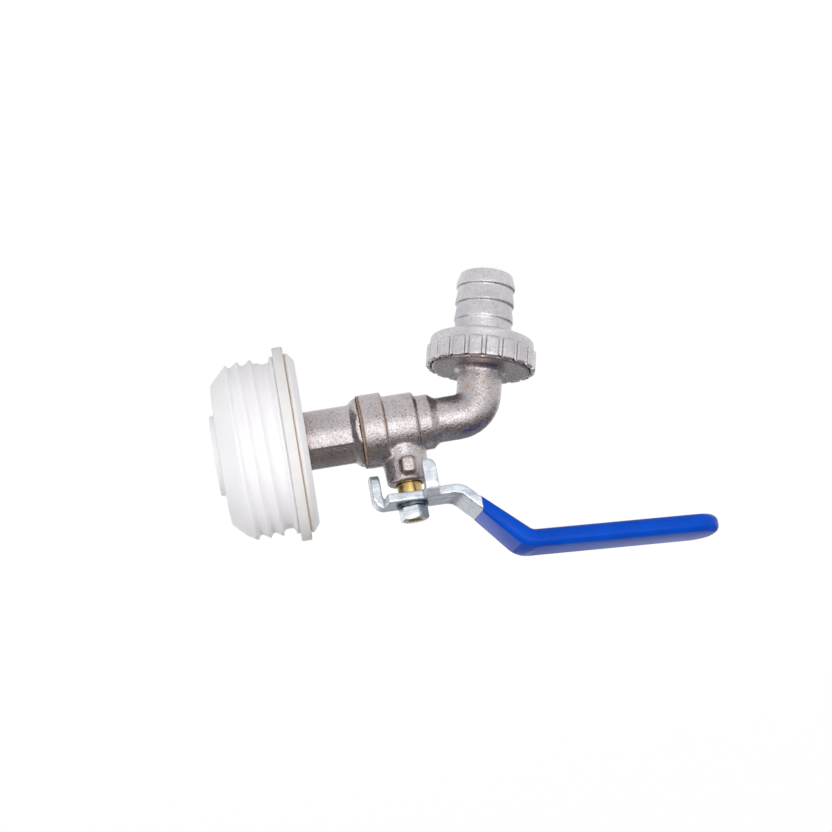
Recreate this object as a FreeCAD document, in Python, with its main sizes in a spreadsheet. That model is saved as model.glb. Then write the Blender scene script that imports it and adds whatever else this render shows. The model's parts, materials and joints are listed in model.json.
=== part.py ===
import FreeCAD, Part
import math
import os
import Sketcher

# Drum bung tap: a plastic bung for a drum's two inch opening, with a lever ball tap screwed in.
# Frame: origin at the centre of the bung's sealing plane, +X the way the liquid flows out of the
# drum, +Z along the tap's stem towards its lever, and the outlet points down, along -Z.
# Lengths are in millimetres, angles in degrees.

SIZES = {
    # Bung, along X. Its thread is the coarse buttress thread S56 x 4 of a drum's opening.
    "bung_thread_radius": 28.0,
    "bung_neck_depth": 2.0,
    "bung_neck_length": 3.7,
    "bung_ridge_width": 1.3,
    "bung_thread_length": 9.5,
    "bung_lead_depth": 6.0,
    "bung_flange_overhang": 0.3,
    "bung_flange_rim": 1.1,
    "bung_flange_bevel_length": 1.9,
    "bung_flange_bevel_depth": 2.6,
    "bung_wall": 5.4,
    "bung_recess_edge": 0.6,
    "bung_floor_thickness": 3.0,
    "bung_hub_wall": 2.12,
    "bung_hub_overhang": 1.9,
    "bung_web_count": 6,
    "bung_web_thickness": 2.0,
    "bung_web_drop": 5.0,
    # Gasket between the bung's flange and the drum.
    "gasket_overhang": 2.25,
    "gasket_seat_depth": 2.5,
    "gasket_thickness": 3.35,
    "gasket_edge_round": 0.5,
    "gasket_shoulder_clearance": 0.1,
    "gasket_shoulder_depth": 0.15,
    # End piece that joins the tap to the bung, threaded G1/2.
    "inlet_thread_radius": 10.48,
    "inlet_thread_depth": 17.0,
    "thread_chamfer": 0.8,
    "thread_clearance": 0.05,
    "seal_thickness": 1.5,
    "seal_width": 2.88,
    "stub_radius": 9.2,
    "stub_length": 14.6,
    "inlet_bore_radius": 6.0,
    "collar_flats": 21.0,
    "collar_turn": 28.5,
    "collar_length": 2.7,
    "collar_bevel_length": 1.0,
    "collar_bevel_depth": 0.9,
    "joint_ring_thickness": 0.3,
    "joint_ring_clearance": 0.2,
    "joint_ring_width": 1.1,
    "nose_wall": 2.35,
    "nose_bore_lead": 2.0,
    "nose_bore_step": 1.0,
    # Forged body, along X, with its ball at ball_place.
    "ball_place": 35.67,
    "body_mouth_radius": 11.66,
    "body_mouth_round": 0.3,
    "body_mouth_length": 7.3,
    "body_waist_radius": 10.18,
    "body_waist_length": 10.1,
    "body_band_radius": 8.7,
    "body_band_length": 4.3,
    "body_cone_length": 2.1,
    "pipe_radius": 7.08,
    "pipe_wall": 2.08,
    # Elbow and outlet. The outlet leans away from the drum.
    "elbow_place": 60.7,
    "elbow_bend_radius": 8.0,
    "outlet_lean": 13.9,
    "outlet_disc_place": 14.1,
    "outlet_disc_rim": 2.38,
    "outlet_disc_thickness": 2.1,
    "outlet_disc_chamfer": 0.3,
    "outlet_foot_flare": 1.0,
    "spigot_thread_radius": 13.22,
    "spigot_length": 4.4,
    "spigot_bore_radius": 8.6,
    "spigot_bore_depth": 4.4,
    "spigot_bore_lead": 3.0,
    # Boss for the stem, and the lug that stops the lever.
    "boss_radius": 6.6,
    "boss_flare": 0.9,
    "boss_height": 18.7,
    "boss_end_round": 0.6,
    "boss_foot_round": 0.8,
    "lug_offset": 0.4,
    "lug_drop": 4.4,
    "lug_reach": 9.6,
    "lug_face_width": 3.9,
    "lug_face_length": 4.7,
    "lug_draft": 0.9,
    "lug_corner_round": 1.2,
    "lug_root_round": 0.8,
    # Ball, seats and stem.
    "ball_radius": 8.0,
    "ball_bore_radius": 4.7,
    "ball_slot_width": 3.1,
    "ball_slot_depth": 2.6,
    "running_clearance": 0.06,
    "stem_clearance": 0.1,
    "chamber_clearance": 0.3,
    "seat_outer_inset": 0.8,
    "seat_bore_margin": 0.3,
    "seat_back_inset": 0.45,
    "seat_length": 2.4,
    "stem_radius": 3.8,
    "stem_tang_play": 0.2,
    "stem_tang_length": 7.6,
    "stem_collar_rim": 1.05,
    "stem_collar_gap": 0.4,
    "stem_collar_length": 1.5,
    "thrust_washer_thickness": 0.8,
    "o_ring_section": 0.5,
    "o_ring_squeeze": 0.05,
    "o_ring_groove_width": 1.3,
    "o_ring_place": 13.0,
    "o_ring_pitch": 2.8,
    "stem_flats_radius": 2.9,
    "stem_flats_width": 4.4,
    "stem_screw_radius": 2.5,
    "stem_end_place": 30.7,
    "stem_end_chamfer": 0.4,
    # Lever, in its own frame: u along the handle, v across it, from the stem's axis.
    "lever_turn": -8.0,
    "lever_thickness": 3.0,
    "lever_place": 22.1,
    "lever_half_width": 7.8,
    "lever_head_half_width": 5.6,
    "lever_hole_clearance": 0.1,
    "arm_start": 14.7,
    "arm_angle": 45.5,
    "arm_run": 18.4,
    "handle_angle": 2.6,
    "handle_end": 94.5,
    "handle_tip_round": 7.0,
    "bend_inner_radius": 4.5,
    "near_tab_start": 2.9,
    "near_tab_width": 4.4,
    "near_tab_reach": 11.1,
    "tab_top_place": 13.7,
    "tab_corner_round": 1.6,
    "tab_ear_round": 2.7,
    "tab_bend_radius": 1.2,
    "tab_bend_thinning": 0.4,
    "rear_tab_reach": 11.4,
    "rear_tab_edge": 2.3,
    "sleeve_skin": 1.35,
    "sleeve_start": 19.85,
    "sleeve_edge_round": 2.3,
    # Fasteners of the lever: M5 washer and nut.
    "lever_washer_radius": 5.0,
    "lever_washer_thickness": 1.0,
    "fastener_clearance": 0.1,
    "lever_nut_flats": 8.0,
    "lever_nut_height": 4.3,
    "lever_nut_chamfer": 0.4,
    "lever_nut_turn": 14.5,
    # Union nut, washer and hose tail, along the outlet. The thread is G3/4.
    "union_washer_thickness": 1.5,
    "union_washer_bore": 8.4,
    "union_washer_margin": 0.4,
    "tail_collar_thickness": 1.5,
    "tail_collar_margin": 0.5,
    "tail_neck_drop": 0.4,
    "tail_bore_radius": 6.5,
    "barb_radius": 9.4,
    "barb_root_drop": 0.65,
    "barb_land": 0.5,
    "barb_pitch": 5.5,
    "barb_count": 3,
    "barb_first_place": 29.85,
    "tail_tip_length": 5.05,
    "tail_tip_drop": 0.95,
    "tail_tip_round": 0.5,
    "nut_wall": 1.5,
    "nut_skirt_setback": 0.35,
    "nut_skirt_chamfer": 0.4,
    "nut_rib_length": 6.4,
    "nut_rib_chamfer": 0.3,
    "nut_groove_depth": 0.95,
    "nut_groove_width": 1.5,
    "nut_groove_count": 20,
    "nut_shoulder_length": 2.65,
    "nut_shoulder_bend": 0.6,
    "nut_shoulder_fall": 0.6,
    "nut_dome_inset": 4.6,
    "nut_dome_length": 1.75,
    "nut_roof_thickness": 2.6,
    "nut_mouth_chamfer": 0.4,
    "nut_clearance": 0.3,
    "nut_thread_clearance": 0.1,
    "nut_disc_gap": 0.15,
}

# How far a cutting tool runs out past what it cuts, and how deep a joined piece reaches in.
OVERRUN = "1"
BITE = "0.5"

XY = "XY_Plane"
XZ = "XZ_Plane"
YZ = "YZ_Plane"

document = FreeCAD.newDocument("drum_bung_tap")
sheet = document.addObject("Spreadsheet::Sheet", "Sizes")
for row, (alias, number) in enumerate(SIZES.items(), start=1):
    sheet.set("A%d" % row, str(number))
    sheet.setAlias("A%d" % row, alias)
document.recompute()

nodes = []


def value(expression):
    """The number that an expression of the sheet's aliases has now."""
    result = sheet.evalExpression(expression)
    return float(getattr(result, "Value", result))


def bind(thing, prop, expression):
    """Tie a property to an expression of the sheet."""
    thing.setExpression(prop, expression)


def origin_plane(body, role):
    """One of a body's own origin planes."""
    return [plane for plane in body.Origin.OriginFeatures if plane.Role == role][0]


def outline(body, name, role, points, lift=None):
    """A sketch of straight lines whose corners are tied to the sheet."""
    sketch = body.newObject("Sketcher::SketchObject", name)
    sketch.AttachmentSupport = [(origin_plane(body, role), "")]
    sketch.MapMode = "FlatFace"
    if lift is not None:
        bind(sketch, "AttachmentOffset.Base.z", lift)
    corners = [FreeCAD.Vector(value(across), value(up), 0) for across, up in points]
    count = len(corners)
    for index, corner in enumerate(corners):
        sketch.addGeometry(Part.LineSegment(corner, corners[(index + 1) % count]), False)
    for index, (across, up) in enumerate(points):
        sketch.addConstraint(Sketcher.Constraint("Coincident", index, 2, (index + 1) % count, 1))
        corner = corners[index]
        for kind, number, expression in (("DistanceX", corner.x, across), ("DistanceY", corner.y, up)):
            place = sketch.addConstraint(Sketcher.Constraint(kind, -1, 1, index, 1, number))
            bind(sketch, "Constraints[%d]" % place, expression)
    return sketch


def new_body(name):
    return document.addObject("PartDesign::Body", name)


def stand(thing, angle="0", base=("0", "0", "0")):
    """Turn a piece about Y so that its own X lies along its axis, and move it to its base."""
    thing.Placement = FreeCAD.Placement(FreeCAD.Vector(), FreeCAD.Rotation(FreeCAD.Vector(0, 1, 0), 1))
    bind(thing, "Placement.Rotation.Angle", "(%s) * 1 deg" % angle)
    for letter, expression in zip("xyz", base):
        bind(thing, "Placement.Base.%s" % letter, expression)
    return thing


ALONG_X = {}
ALONG_OUTLET = {"angle": "90 - Sizes.outlet_lean", "base": ("Sizes.elbow_place", "0", "0")}
ALONG_STEM = {"angle": "-90", "base": ("Sizes.ball_place", "0", "0")}


def turned(name, points, place=ALONG_X):
    """A turned piece: points are (distance along its axis, radius)."""
    body = new_body(name)
    sketch = outline(body, name + "_profile", XZ, points)
    feature = body.newObject("PartDesign::Revolution", name + "_turn")
    feature.Profile = sketch
    feature.ReferenceAxis = (sketch, ["H_Axis"])
    feature.Angle = 360
    stand(body, **place)
    return body


def padded(body, sketch, name, length):
    """A pad that runs as far to one side of its sketch as to the other."""
    feature = body.newObject("PartDesign::Pad", name)
    feature.Profile = sketch
    feature.Midplane = True
    bind(feature, "Length", length)
    return feature


def rounded(body, feature, name, radius, chosen):
    """Round the edges that the test chooses, by a radius from the sheet."""
    document.recompute()
    edges = ["Edge%d" % (index + 1) for index, edge in enumerate(feature.Shape.Edges) if chosen(edge)]
    fillet = body.newObject("PartDesign::Fillet", name)
    fillet.Base = (feature, edges)
    bind(fillet, "Radius", radius)
    document.recompute()
    return fillet


def fused(name, pieces):
    whole = document.addObject("Part::MultiFuse", name)
    whole.Shapes = pieces
    return whole


def eased(name, base, radius, chosen):
    """Round the edges of a form that the test chooses, by a radius from the sheet."""
    document.recompute()
    soft = document.addObject("Part::Fillet", name)
    soft.Base = base
    size = value(radius)
    soft.Edges = [(index + 1, size, size) for index, edge in enumerate(base.Shape.Edges) if chosen(edge)]
    return soft


def cut(name, base, tool):
    rest = document.addObject("Part::Cut", name)
    rest.Base = base
    rest.Tool = tool
    return rest


def node(thing, label):
    """Name a finished piece, which is written to a file of that name."""
    thing.Label = label
    nodes.append(thing)
    return thing


def runs_along(edge, axis):
    """Whether an edge is straight and lies along an axis."""
    if not isinstance(edge.Curve, Part.Line):
        return False
    return abs(abs(edge.Curve.Direction.dot(axis)) - 1.0) < 1e-6


# Places that several pieces share.

FLANGE_FACE = "(Sizes.gasket_thickness + Sizes.bung_flange_rim + Sizes.bung_flange_bevel_length)"
THREAD_END = "(Sizes.bung_ridge_width + Sizes.bung_neck_length + Sizes.bung_thread_length)"
BUNG_END = "(%s + Sizes.bung_lead_depth)" % THREAD_END
HUB_END = "(%s + Sizes.bung_hub_overhang)" % BUNG_END
SOCKET_FLOOR = "(%s - Sizes.inlet_thread_depth - Sizes.seal_thickness)" % FLANGE_FACE
NIPPLE_END = "(%s - Sizes.inlet_thread_depth)" % FLANGE_FACE
SOCKET_RADIUS = "(Sizes.inlet_thread_radius + Sizes.thread_clearance)"
NECK_RADIUS = "(Sizes.bung_thread_radius - Sizes.bung_neck_depth)"
FLANGE_RADIUS = "(Sizes.bung_thread_radius + Sizes.bung_flange_overhang)"
RECESS_RADIUS = "(Sizes.bung_thread_radius - Sizes.bung_wall)"
HUB_RADIUS = "(%s + Sizes.bung_hub_wall)" % SOCKET_RADIUS
GASKET_RADIUS = "(%s + Sizes.gasket_overhang)" % FLANGE_RADIUS
GASKET_SEAT_RADIUS = "(Sizes.bung_thread_radius - Sizes.gasket_seat_depth)"
SEAL_BORE_RADIUS = "(Sizes.inlet_thread_radius - Sizes.seal_width)"
COLLAR_START = "(%s + Sizes.stub_length)" % FLANGE_FACE
COLLAR_END = "(%s + Sizes.collar_length)" % COLLAR_START
BODY_START = "(%s + Sizes.joint_ring_thickness)" % COLLAR_END
MOUTH_END = "(%s + Sizes.body_mouth_length)" % BODY_START
WAIST_END = "(%s + Sizes.body_waist_length)" % MOUTH_END
BAND_END = "(%s + Sizes.body_band_length)" % WAIST_END
CONE_END = "(%s + Sizes.body_cone_length)" % BAND_END
BEND_TANGENT = "(Sizes.elbow_bend_radius * tan((90 - Sizes.outlet_lean) / 2 * 1 deg))"
BEND_START = "(Sizes.elbow_place - %s)" % BEND_TANGENT
DISC_TOP = "(Sizes.outlet_disc_place + Sizes.outlet_disc_thickness)"
SPIGOT_END = "(%s + Sizes.spigot_length)" % DISC_TOP
COLLAR_FACE = "(%s + Sizes.union_washer_thickness)" % SPIGOT_END
COLLAR_BACK = "(%s + Sizes.tail_collar_thickness)" % COLLAR_FACE
PIPE_BORE_RADIUS = "(Sizes.pipe_radius - Sizes.pipe_wall)"
DISC_RADIUS = "(Sizes.spigot_thread_radius + Sizes.outlet_disc_rim)"
CHAMBER_RADIUS = "(Sizes.ball_radius + Sizes.chamber_clearance)"
SEAT_OUTER_RADIUS = "(Sizes.ball_radius - Sizes.seat_outer_inset)"
SEAT_POCKET_RADIUS = "(%s + Sizes.thread_clearance)" % SEAT_OUTER_RADIUS
SEAT_BORE_RADIUS = "(Sizes.ball_bore_radius + Sizes.seat_bore_margin)"
SEAT_BACK = "(Sizes.ball_radius - Sizes.seat_back_inset)"
SEAT_FRONT = "(%s - Sizes.seat_length)" % SEAT_BACK
NOSE_RADIUS = "(%s + Sizes.nose_wall)" % SEAT_POCKET_RADIUS
SLOT_FLOOR = "(Sizes.ball_radius - Sizes.ball_slot_depth)"
STEM_BORE_RADIUS = "(Sizes.stem_radius + Sizes.stem_clearance)"
STEM_COLLAR_RADIUS = "(Sizes.stem_radius + Sizes.stem_collar_rim)"
STEM_COLLAR_PLACE = "(Sizes.ball_radius + Sizes.stem_collar_gap)"
STEM_COLLAR_TOP = "(%s + Sizes.stem_collar_length)" % STEM_COLLAR_PLACE
THRUST_TOP = "(%s + Sizes.thrust_washer_thickness)" % STEM_COLLAR_TOP
LEVER_TOP = "(Sizes.lever_place + Sizes.lever_thickness)"
WASHER_TOP = "(%s + Sizes.lever_washer_thickness)" % LEVER_TOP
TAIL_NECK_RADIUS = "(Sizes.barb_radius - Sizes.tail_neck_drop)"
NUT_MOUTH_RADIUS = "(Sizes.barb_radius + Sizes.nut_clearance)"
NUT_RADIUS = "(%s + Sizes.nut_clearance + Sizes.nut_wall)" % DISC_RADIUS
NUT_START = "(Sizes.outlet_disc_place + Sizes.nut_skirt_setback)"
RING_BORE_RADIUS = "(%s + Sizes.joint_ring_clearance)" % NOSE_RADIUS
RING_RADIUS = "(%s + Sizes.joint_ring_width)" % RING_BORE_RADIUS
TANG_WIDTH = "(Sizes.ball_slot_width - Sizes.stem_tang_play)"
O_RING_REACH = "(Sizes.stem_radius + Sizes.o_ring_squeeze)"
BARB_ROOT_RADIUS = "(Sizes.barb_radius - Sizes.barb_root_drop)"
TAIL_TIP_RADIUS = "(Sizes.barb_radius - Sizes.tail_tip_drop)"
TAIL_END = "(Sizes.barb_first_place + (Sizes.barb_count - 1) * Sizes.barb_pitch + Sizes.tail_tip_length)"
NUT_DOME_RADIUS = "(%s - Sizes.nut_dome_inset)" % NUT_RADIUS


def make_bung_plug():
    """The moulded bung: threaded wall, closed drum end, hub with a socket, and webs in its recess."""
    wall_face = "(%s - Sizes.bung_recess_edge)" % FLANGE_FACE
    floor = "(-%s + Sizes.bung_floor_thickness)" % BUNG_END
    plug = turned("bung_plug", [
        ("-" + HUB_END, SEAL_BORE_RADIUS),
        ("-" + HUB_END, HUB_RADIUS),
        ("-" + BUNG_END, HUB_RADIUS),
        ("-" + BUNG_END, "Sizes.bung_thread_radius - Sizes.bung_lead_depth"),
        ("-" + THREAD_END, "Sizes.bung_thread_radius"),
        ("-Sizes.bung_ridge_width - Sizes.bung_neck_length", "Sizes.bung_thread_radius"),
        ("-Sizes.bung_ridge_width - Sizes.bung_neck_length", NECK_RADIUS),
        ("-Sizes.bung_ridge_width", NECK_RADIUS),
        ("-Sizes.bung_ridge_width", "Sizes.bung_thread_radius"),
        ("0", "Sizes.bung_thread_radius"),
        ("0", GASKET_SEAT_RADIUS),
        ("Sizes.gasket_thickness", GASKET_SEAT_RADIUS),
        ("Sizes.gasket_thickness", FLANGE_RADIUS),
        ("Sizes.gasket_thickness + Sizes.bung_flange_rim", FLANGE_RADIUS),
        (FLANGE_FACE, FLANGE_RADIUS + " - Sizes.bung_flange_bevel_depth"),
        (FLANGE_FACE, RECESS_RADIUS + " + Sizes.bung_recess_edge"),
        (wall_face, RECESS_RADIUS),
        (floor, RECESS_RADIUS),
        (floor, HUB_RADIUS),
        (FLANGE_FACE, HUB_RADIUS),
        (FLANGE_FACE, SOCKET_RADIUS),
        (SOCKET_FLOOR, SOCKET_RADIUS),
        (SOCKET_FLOOR, SEAL_BORE_RADIUS),
    ])
    web_inner = "%s - %s" % (HUB_RADIUS, BITE)
    web_outer = "%s + %s" % (RECESS_RADIUS, BITE)
    web_foot = "%s - %s" % (floor, BITE)
    web_face = "%s - Sizes.bung_web_drop" % FLANGE_FACE
    sketch = outline(plug, "web_profile", XY, [
        (web_foot, web_inner),
        (web_face, web_inner),
        (web_face, web_outer),
        (web_foot, web_outer),
    ])
    web = padded(plug, sketch, "web", "Sizes.bung_web_thickness")
    webs = plug.newObject("PartDesign::PolarPattern", "webs")
    webs.Originals = [web]
    webs.Axis = (sketch, ["H_Axis"])
    webs.Angle = 360
    bind(webs, "Occurrences", "Sizes.bung_web_count")
    plug.Tip = webs
    return node(plug, "bung_plug")


def make_bung_gasket():
    """The ring that seals on the drum: rounded rims, and a shoulder that clears the bung's ridge."""
    shoulder = "(Sizes.bung_thread_radius + Sizes.gasket_shoulder_clearance)"
    gasket = turned("bung_gasket", [
        ("Sizes.gasket_shoulder_depth", GASKET_SEAT_RADIUS),
        ("Sizes.gasket_shoulder_depth", shoulder),
        ("0", shoulder),
        ("0", GASKET_RADIUS),
        ("Sizes.gasket_thickness", GASKET_RADIUS),
        ("Sizes.gasket_thickness", GASKET_SEAT_RADIUS),
    ])
    document.recompute()
    rim = value(GASKET_RADIUS)
    rounded(gasket, gasket.Tip, "gasket_rims", "Sizes.gasket_edge_round",
            lambda edge: abs(edge.BoundBox.ZMax - rim) < 1e-4 and edge.Closed)
    return node(gasket, "bung_gasket")


def make_inlet_seal():
    """The rubber ring at the bottom of the bung's socket."""
    seal = turned("inlet_seal", [
        (SOCKET_FLOOR, SEAL_BORE_RADIUS),
        (SOCKET_FLOOR, "Sizes.inlet_thread_radius"),
        (NIPPLE_END, "Sizes.inlet_thread_radius"),
        (NIPPLE_END, SEAL_BORE_RADIUS),
    ])
    return node(seal, "inlet_seal")


def make_inlet_end_piece():
    """The turned nipple, stub, eight-sided collar and threaded nose that holds the first seat."""
    nose_end = "Sizes.ball_place - %s" % SEAT_FRONT
    pocket = "Sizes.ball_place - %s" % SEAT_BACK
    shaft = turned("end_piece_shaft", [
        (NIPPLE_END, "0"),
        (NIPPLE_END, "Sizes.inlet_thread_radius - Sizes.thread_chamfer"),
        (NIPPLE_END + " + Sizes.thread_chamfer", "Sizes.inlet_thread_radius"),
        (FLANGE_FACE + " - Sizes.thread_chamfer", "Sizes.inlet_thread_radius"),
        (FLANGE_FACE + " - Sizes.thread_chamfer", "Sizes.stub_radius"),
        (COLLAR_END, "Sizes.stub_radius"),
        (COLLAR_END, NOSE_RADIUS),
        (nose_end + " - Sizes.thread_chamfer", NOSE_RADIUS),
        (nose_end, NOSE_RADIUS + " - Sizes.thread_chamfer"),
        (nose_end, "0"),
    ])
    flat = "Sizes.collar_flats / 2"
    corner = "(%s / cos(22.5 deg))" % flat
    prism = document.addObject("Part::Prism", "end_piece_octagon")
    prism.Polygon = 8
    bind(prism, "Circumradius", corner)
    bind(prism, "Height", "Sizes.collar_length")
    lying = FreeCAD.Rotation(FreeCAD.Vector(0, 1, 0), 90)
    turn = FreeCAD.Rotation(FreeCAD.Vector(1, 0, 0), value("Sizes.collar_turn"))
    prism.Placement = FreeCAD.Placement(FreeCAD.Vector(), turn * lying)
    bind(prism, "Placement.Base.x", COLLAR_START)
    bevel_rise = "(%s - %s + Sizes.collar_bevel_depth)" % (corner, flat)
    bevel_run = "%s * Sizes.collar_bevel_length / Sizes.collar_bevel_depth" % bevel_rise
    crown = turned("end_piece_crown", [
        (COLLAR_START, "0"),
        (COLLAR_START, flat + " - Sizes.collar_bevel_depth"),
        (COLLAR_START + " + " + bevel_run, corner),
        (COLLAR_END, corner),
        (COLLAR_END, "0"),
    ])
    collar = document.addObject("Part::Common", "end_piece_collar")
    collar.Base = prism
    collar.Tool = crown
    step = "%s - Sizes.nose_bore_step" % pocket
    before = "%s - %s" % (NIPPLE_END, OVERRUN)
    beyond = "%s + %s" % (nose_end, OVERRUN)
    bore = turned("end_piece_bore", [
        (before, "0"),
        (before, "Sizes.inlet_bore_radius"),
        (step + " - Sizes.nose_bore_lead", "Sizes.inlet_bore_radius"),
        (step, SEAT_BORE_RADIUS),
        (pocket, SEAT_BORE_RADIUS),
        (pocket, SEAT_POCKET_RADIUS),
        (beyond, SEAT_POCKET_RADIUS),
        (beyond, "0"),
    ])
    whole = fused("end_piece_blank", [shaft, collar])
    return node(cut("end_piece", whole, bore), "inlet_end_piece")


def make_end_piece_seal():
    """The thin ring in the joint between the collar and the body."""
    ring = turned("end_piece_seal", [
        (COLLAR_END, RING_BORE_RADIUS),
        (COLLAR_END, RING_RADIUS),
        (BODY_START, RING_RADIUS),
        (BODY_START, RING_BORE_RADIUS),
    ])
    return node(ring, "end_piece_seal")


def elbow_bend(name, radius):
    """A quarter-like bend of round section, from the valve's axis to the outlet's."""
    bend = document.addObject("Part::Torus", name)
    bind(bend, "Radius1", "Sizes.elbow_bend_radius")
    bind(bend, "Radius2", radius)
    bind(bend, "Angle3", "(90 - Sizes.outlet_lean) * 1 deg")
    bend.Placement = FreeCAD.Placement(
        FreeCAD.Vector(), FreeCAD.Rotation(FreeCAD.Vector(1, 1, 1), -120))
    bind(bend, "Placement.Base.x", BEND_START)
    bind(bend, "Placement.Base.z", "-Sizes.elbow_bend_radius")
    return bend


def make_stop_lug():
    """The tapered lug on the boss's near side, which the lever's tabs meet."""
    lug = document.addObject("Part::Wedge", "stop_lug_block")
    foot = "Sizes.boss_radius / 2"
    for letter, width, middle in (("X", "face_width", "Sizes.ball_place + Sizes.lug_offset"),
                                  ("Z", "face_length", "Sizes.boss_height - Sizes.lug_drop")):
        half = "Sizes.lug_%s / 2" % width
        spread = "Sizes.lug_draft"
        bind(lug, letter + "min", "%s - %s - %s" % (middle, half, spread))
        bind(lug, letter + "max", "%s + %s + %s" % (middle, half, spread))
        bind(lug, letter + "2min", "%s - %s" % (middle, half))
        bind(lug, letter + "2max", "%s + %s" % (middle, half))
    bind(lug, "Ymin", foot)
    bind(lug, "Ymax", "Sizes.lug_reach")
    return eased("stop_lug", lug, "Sizes.lug_corner_round",
                 lambda edge: edge.BoundBox.YMin < value(foot) + 0.01 and edge.BoundBox.YLength > 1.0)


def ease_boss(forging):
    """Round the lug's root on the boss, and the boss's foot on the stepped housing."""
    stem = value("Sizes.ball_place")
    housing = value("Sizes.body_mouth_radius + Sizes.fastener_clearance")
    foot = value("Sizes.boss_radius + Sizes.boss_flare + Sizes.fastener_clearance")
    side = value("0.8 * Sizes.boss_radius")

    def where_forms_meet(edge):
        """Points along an edge, where two curved forms meet in it, and otherwise none."""
        if isinstance(edge.Curve, (Part.Line, Part.Circle)):
            return []
        return edge.discretize(5)

    def round_stem(points):
        return bool(points) and all(math.hypot(spot.x - stem, spot.y) < foot for spot in points)

    def at_lug(edge):
        points = where_forms_meet(edge)
        return round_stem(points) and all(
            spot.y > side and math.hypot(spot.y, spot.z) > housing for spot in points)

    def at_boss_foot(edge):
        points = where_forms_meet(edge)
        return round_stem(points) and all(math.hypot(spot.y, spot.z) < housing for spot in points)

    smallest_step = "(Sizes.body_mouth_radius - Sizes.body_waist_radius)"
    foot_round = "min(Sizes.boss_foot_round; %s / 2)" % smallest_step
    rooted = eased("forging_lug_root", forging, "Sizes.lug_root_round", at_lug)
    return eased("forging_boss_foot", rooted, foot_round, at_boss_foot)


def make_tap_body():
    """The forged body: stepped housing, stem boss with its lug, elbow, outlet disc and spigot."""
    step = "Sizes.boss_end_round"
    housing = turned("housing_form", [
        (BODY_START, "0"),
        (BODY_START, "Sizes.body_mouth_radius - Sizes.body_mouth_round"),
        (BODY_START + " + 1.5 * Sizes.body_mouth_round", "Sizes.body_mouth_radius"),
        (MOUTH_END, "Sizes.body_mouth_radius"),
        (MOUTH_END, "Sizes.body_waist_radius"),
        (WAIST_END, "Sizes.body_waist_radius"),
        (WAIST_END, "Sizes.body_band_radius"),
        (BAND_END, "Sizes.body_band_radius"),
        (CONE_END, "Sizes.pipe_radius"),
        (BEND_START, "Sizes.pipe_radius"),
        (BEND_START, "0"),
    ])
    boss = turned("boss_form", [
        ("Sizes.boss_radius / 2", "0"),
        ("Sizes.boss_radius / 2", "Sizes.boss_radius + Sizes.boss_flare"),
        ("Sizes.boss_height - %s" % step, "Sizes.boss_radius"),
        ("Sizes.boss_height", "Sizes.boss_radius - %s" % step),
        ("Sizes.boss_height", "0"),
    ], ALONG_STEM)
    chamfer = "Sizes.outlet_disc_chamfer"
    outlet = turned("outlet_form", [
        (BEND_TANGENT, "0"),
        (BEND_TANGENT, "Sizes.pipe_radius"),
        ("Sizes.outlet_disc_place - Sizes.outlet_foot_flare", "Sizes.pipe_radius"),
        ("Sizes.outlet_disc_place", "Sizes.pipe_radius + Sizes.outlet_foot_flare"),
        ("Sizes.outlet_disc_place", DISC_RADIUS + " - %s" % chamfer),
        ("Sizes.outlet_disc_place + %s" % chamfer, DISC_RADIUS),
        (DISC_TOP, DISC_RADIUS),
        (DISC_TOP, "Sizes.spigot_thread_radius"),
        (SPIGOT_END + " - Sizes.thread_chamfer", "Sizes.spigot_thread_radius"),
        (SPIGOT_END, "Sizes.spigot_thread_radius - Sizes.thread_chamfer"),
        (SPIGOT_END, "0"),
    ], ALONG_OUTLET)
    forging = ease_boss(fused("forging", [
        housing, boss, make_stop_lug(), elbow_bend("elbow_form", "Sizes.pipe_radius"), outlet]))

    nose_bore = "(%s + Sizes.thread_clearance)" % NOSE_RADIUS
    nose_end = "(Sizes.ball_place - %s + Sizes.running_clearance)" % SEAT_FRONT
    pocket_start = "Sizes.ball_place + %s - Sizes.running_clearance" % SEAT_FRONT
    pocket_end = "Sizes.ball_place + %s" % SEAT_BACK
    chamber = turned("chamber_form", [
        ("%s - %s" % (BODY_START, OVERRUN), "0"),
        ("%s - %s" % (BODY_START, OVERRUN), nose_bore),
        (nose_end, nose_bore),
        (nose_end, CHAMBER_RADIUS),
        (pocket_start, CHAMBER_RADIUS),
        (pocket_start, SEAT_POCKET_RADIUS),
        (pocket_end, SEAT_POCKET_RADIUS),
        (pocket_end, PIPE_BORE_RADIUS),
        (BEND_START, PIPE_BORE_RADIUS),
        (BEND_START, "0"),
    ])
    stem_bore = turned("stem_bore_form", [
        ("0", "0"),
        ("0", STEM_COLLAR_RADIUS + " + Sizes.stem_clearance"),
        (THRUST_TOP, STEM_COLLAR_RADIUS + " + Sizes.stem_clearance"),
        (THRUST_TOP, STEM_BORE_RADIUS),
        ("Sizes.boss_height + " + OVERRUN, STEM_BORE_RADIUS),
        ("Sizes.boss_height + " + OVERRUN, "0"),
    ], ALONG_STEM)
    flare = "%s - Sizes.spigot_bore_depth" % SPIGOT_END
    drain = turned("outlet_bore_form", [
        (BEND_TANGENT, "0"),
        (BEND_TANGENT, PIPE_BORE_RADIUS),
        (flare + " - Sizes.spigot_bore_lead", PIPE_BORE_RADIUS),
        (flare, "Sizes.spigot_bore_radius"),
        ("%s + %s" % (SPIGOT_END, OVERRUN), "Sizes.spigot_bore_radius"),
        ("%s + %s" % (SPIGOT_END, OVERRUN), "0"),
    ], ALONG_OUTLET)
    passage = fused("passage", [
        chamber, stem_bore, elbow_bend("elbow_bore_form", PIPE_BORE_RADIUS), drain])
    return node(cut("body_forging", forging, passage), "tap_body")


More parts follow.
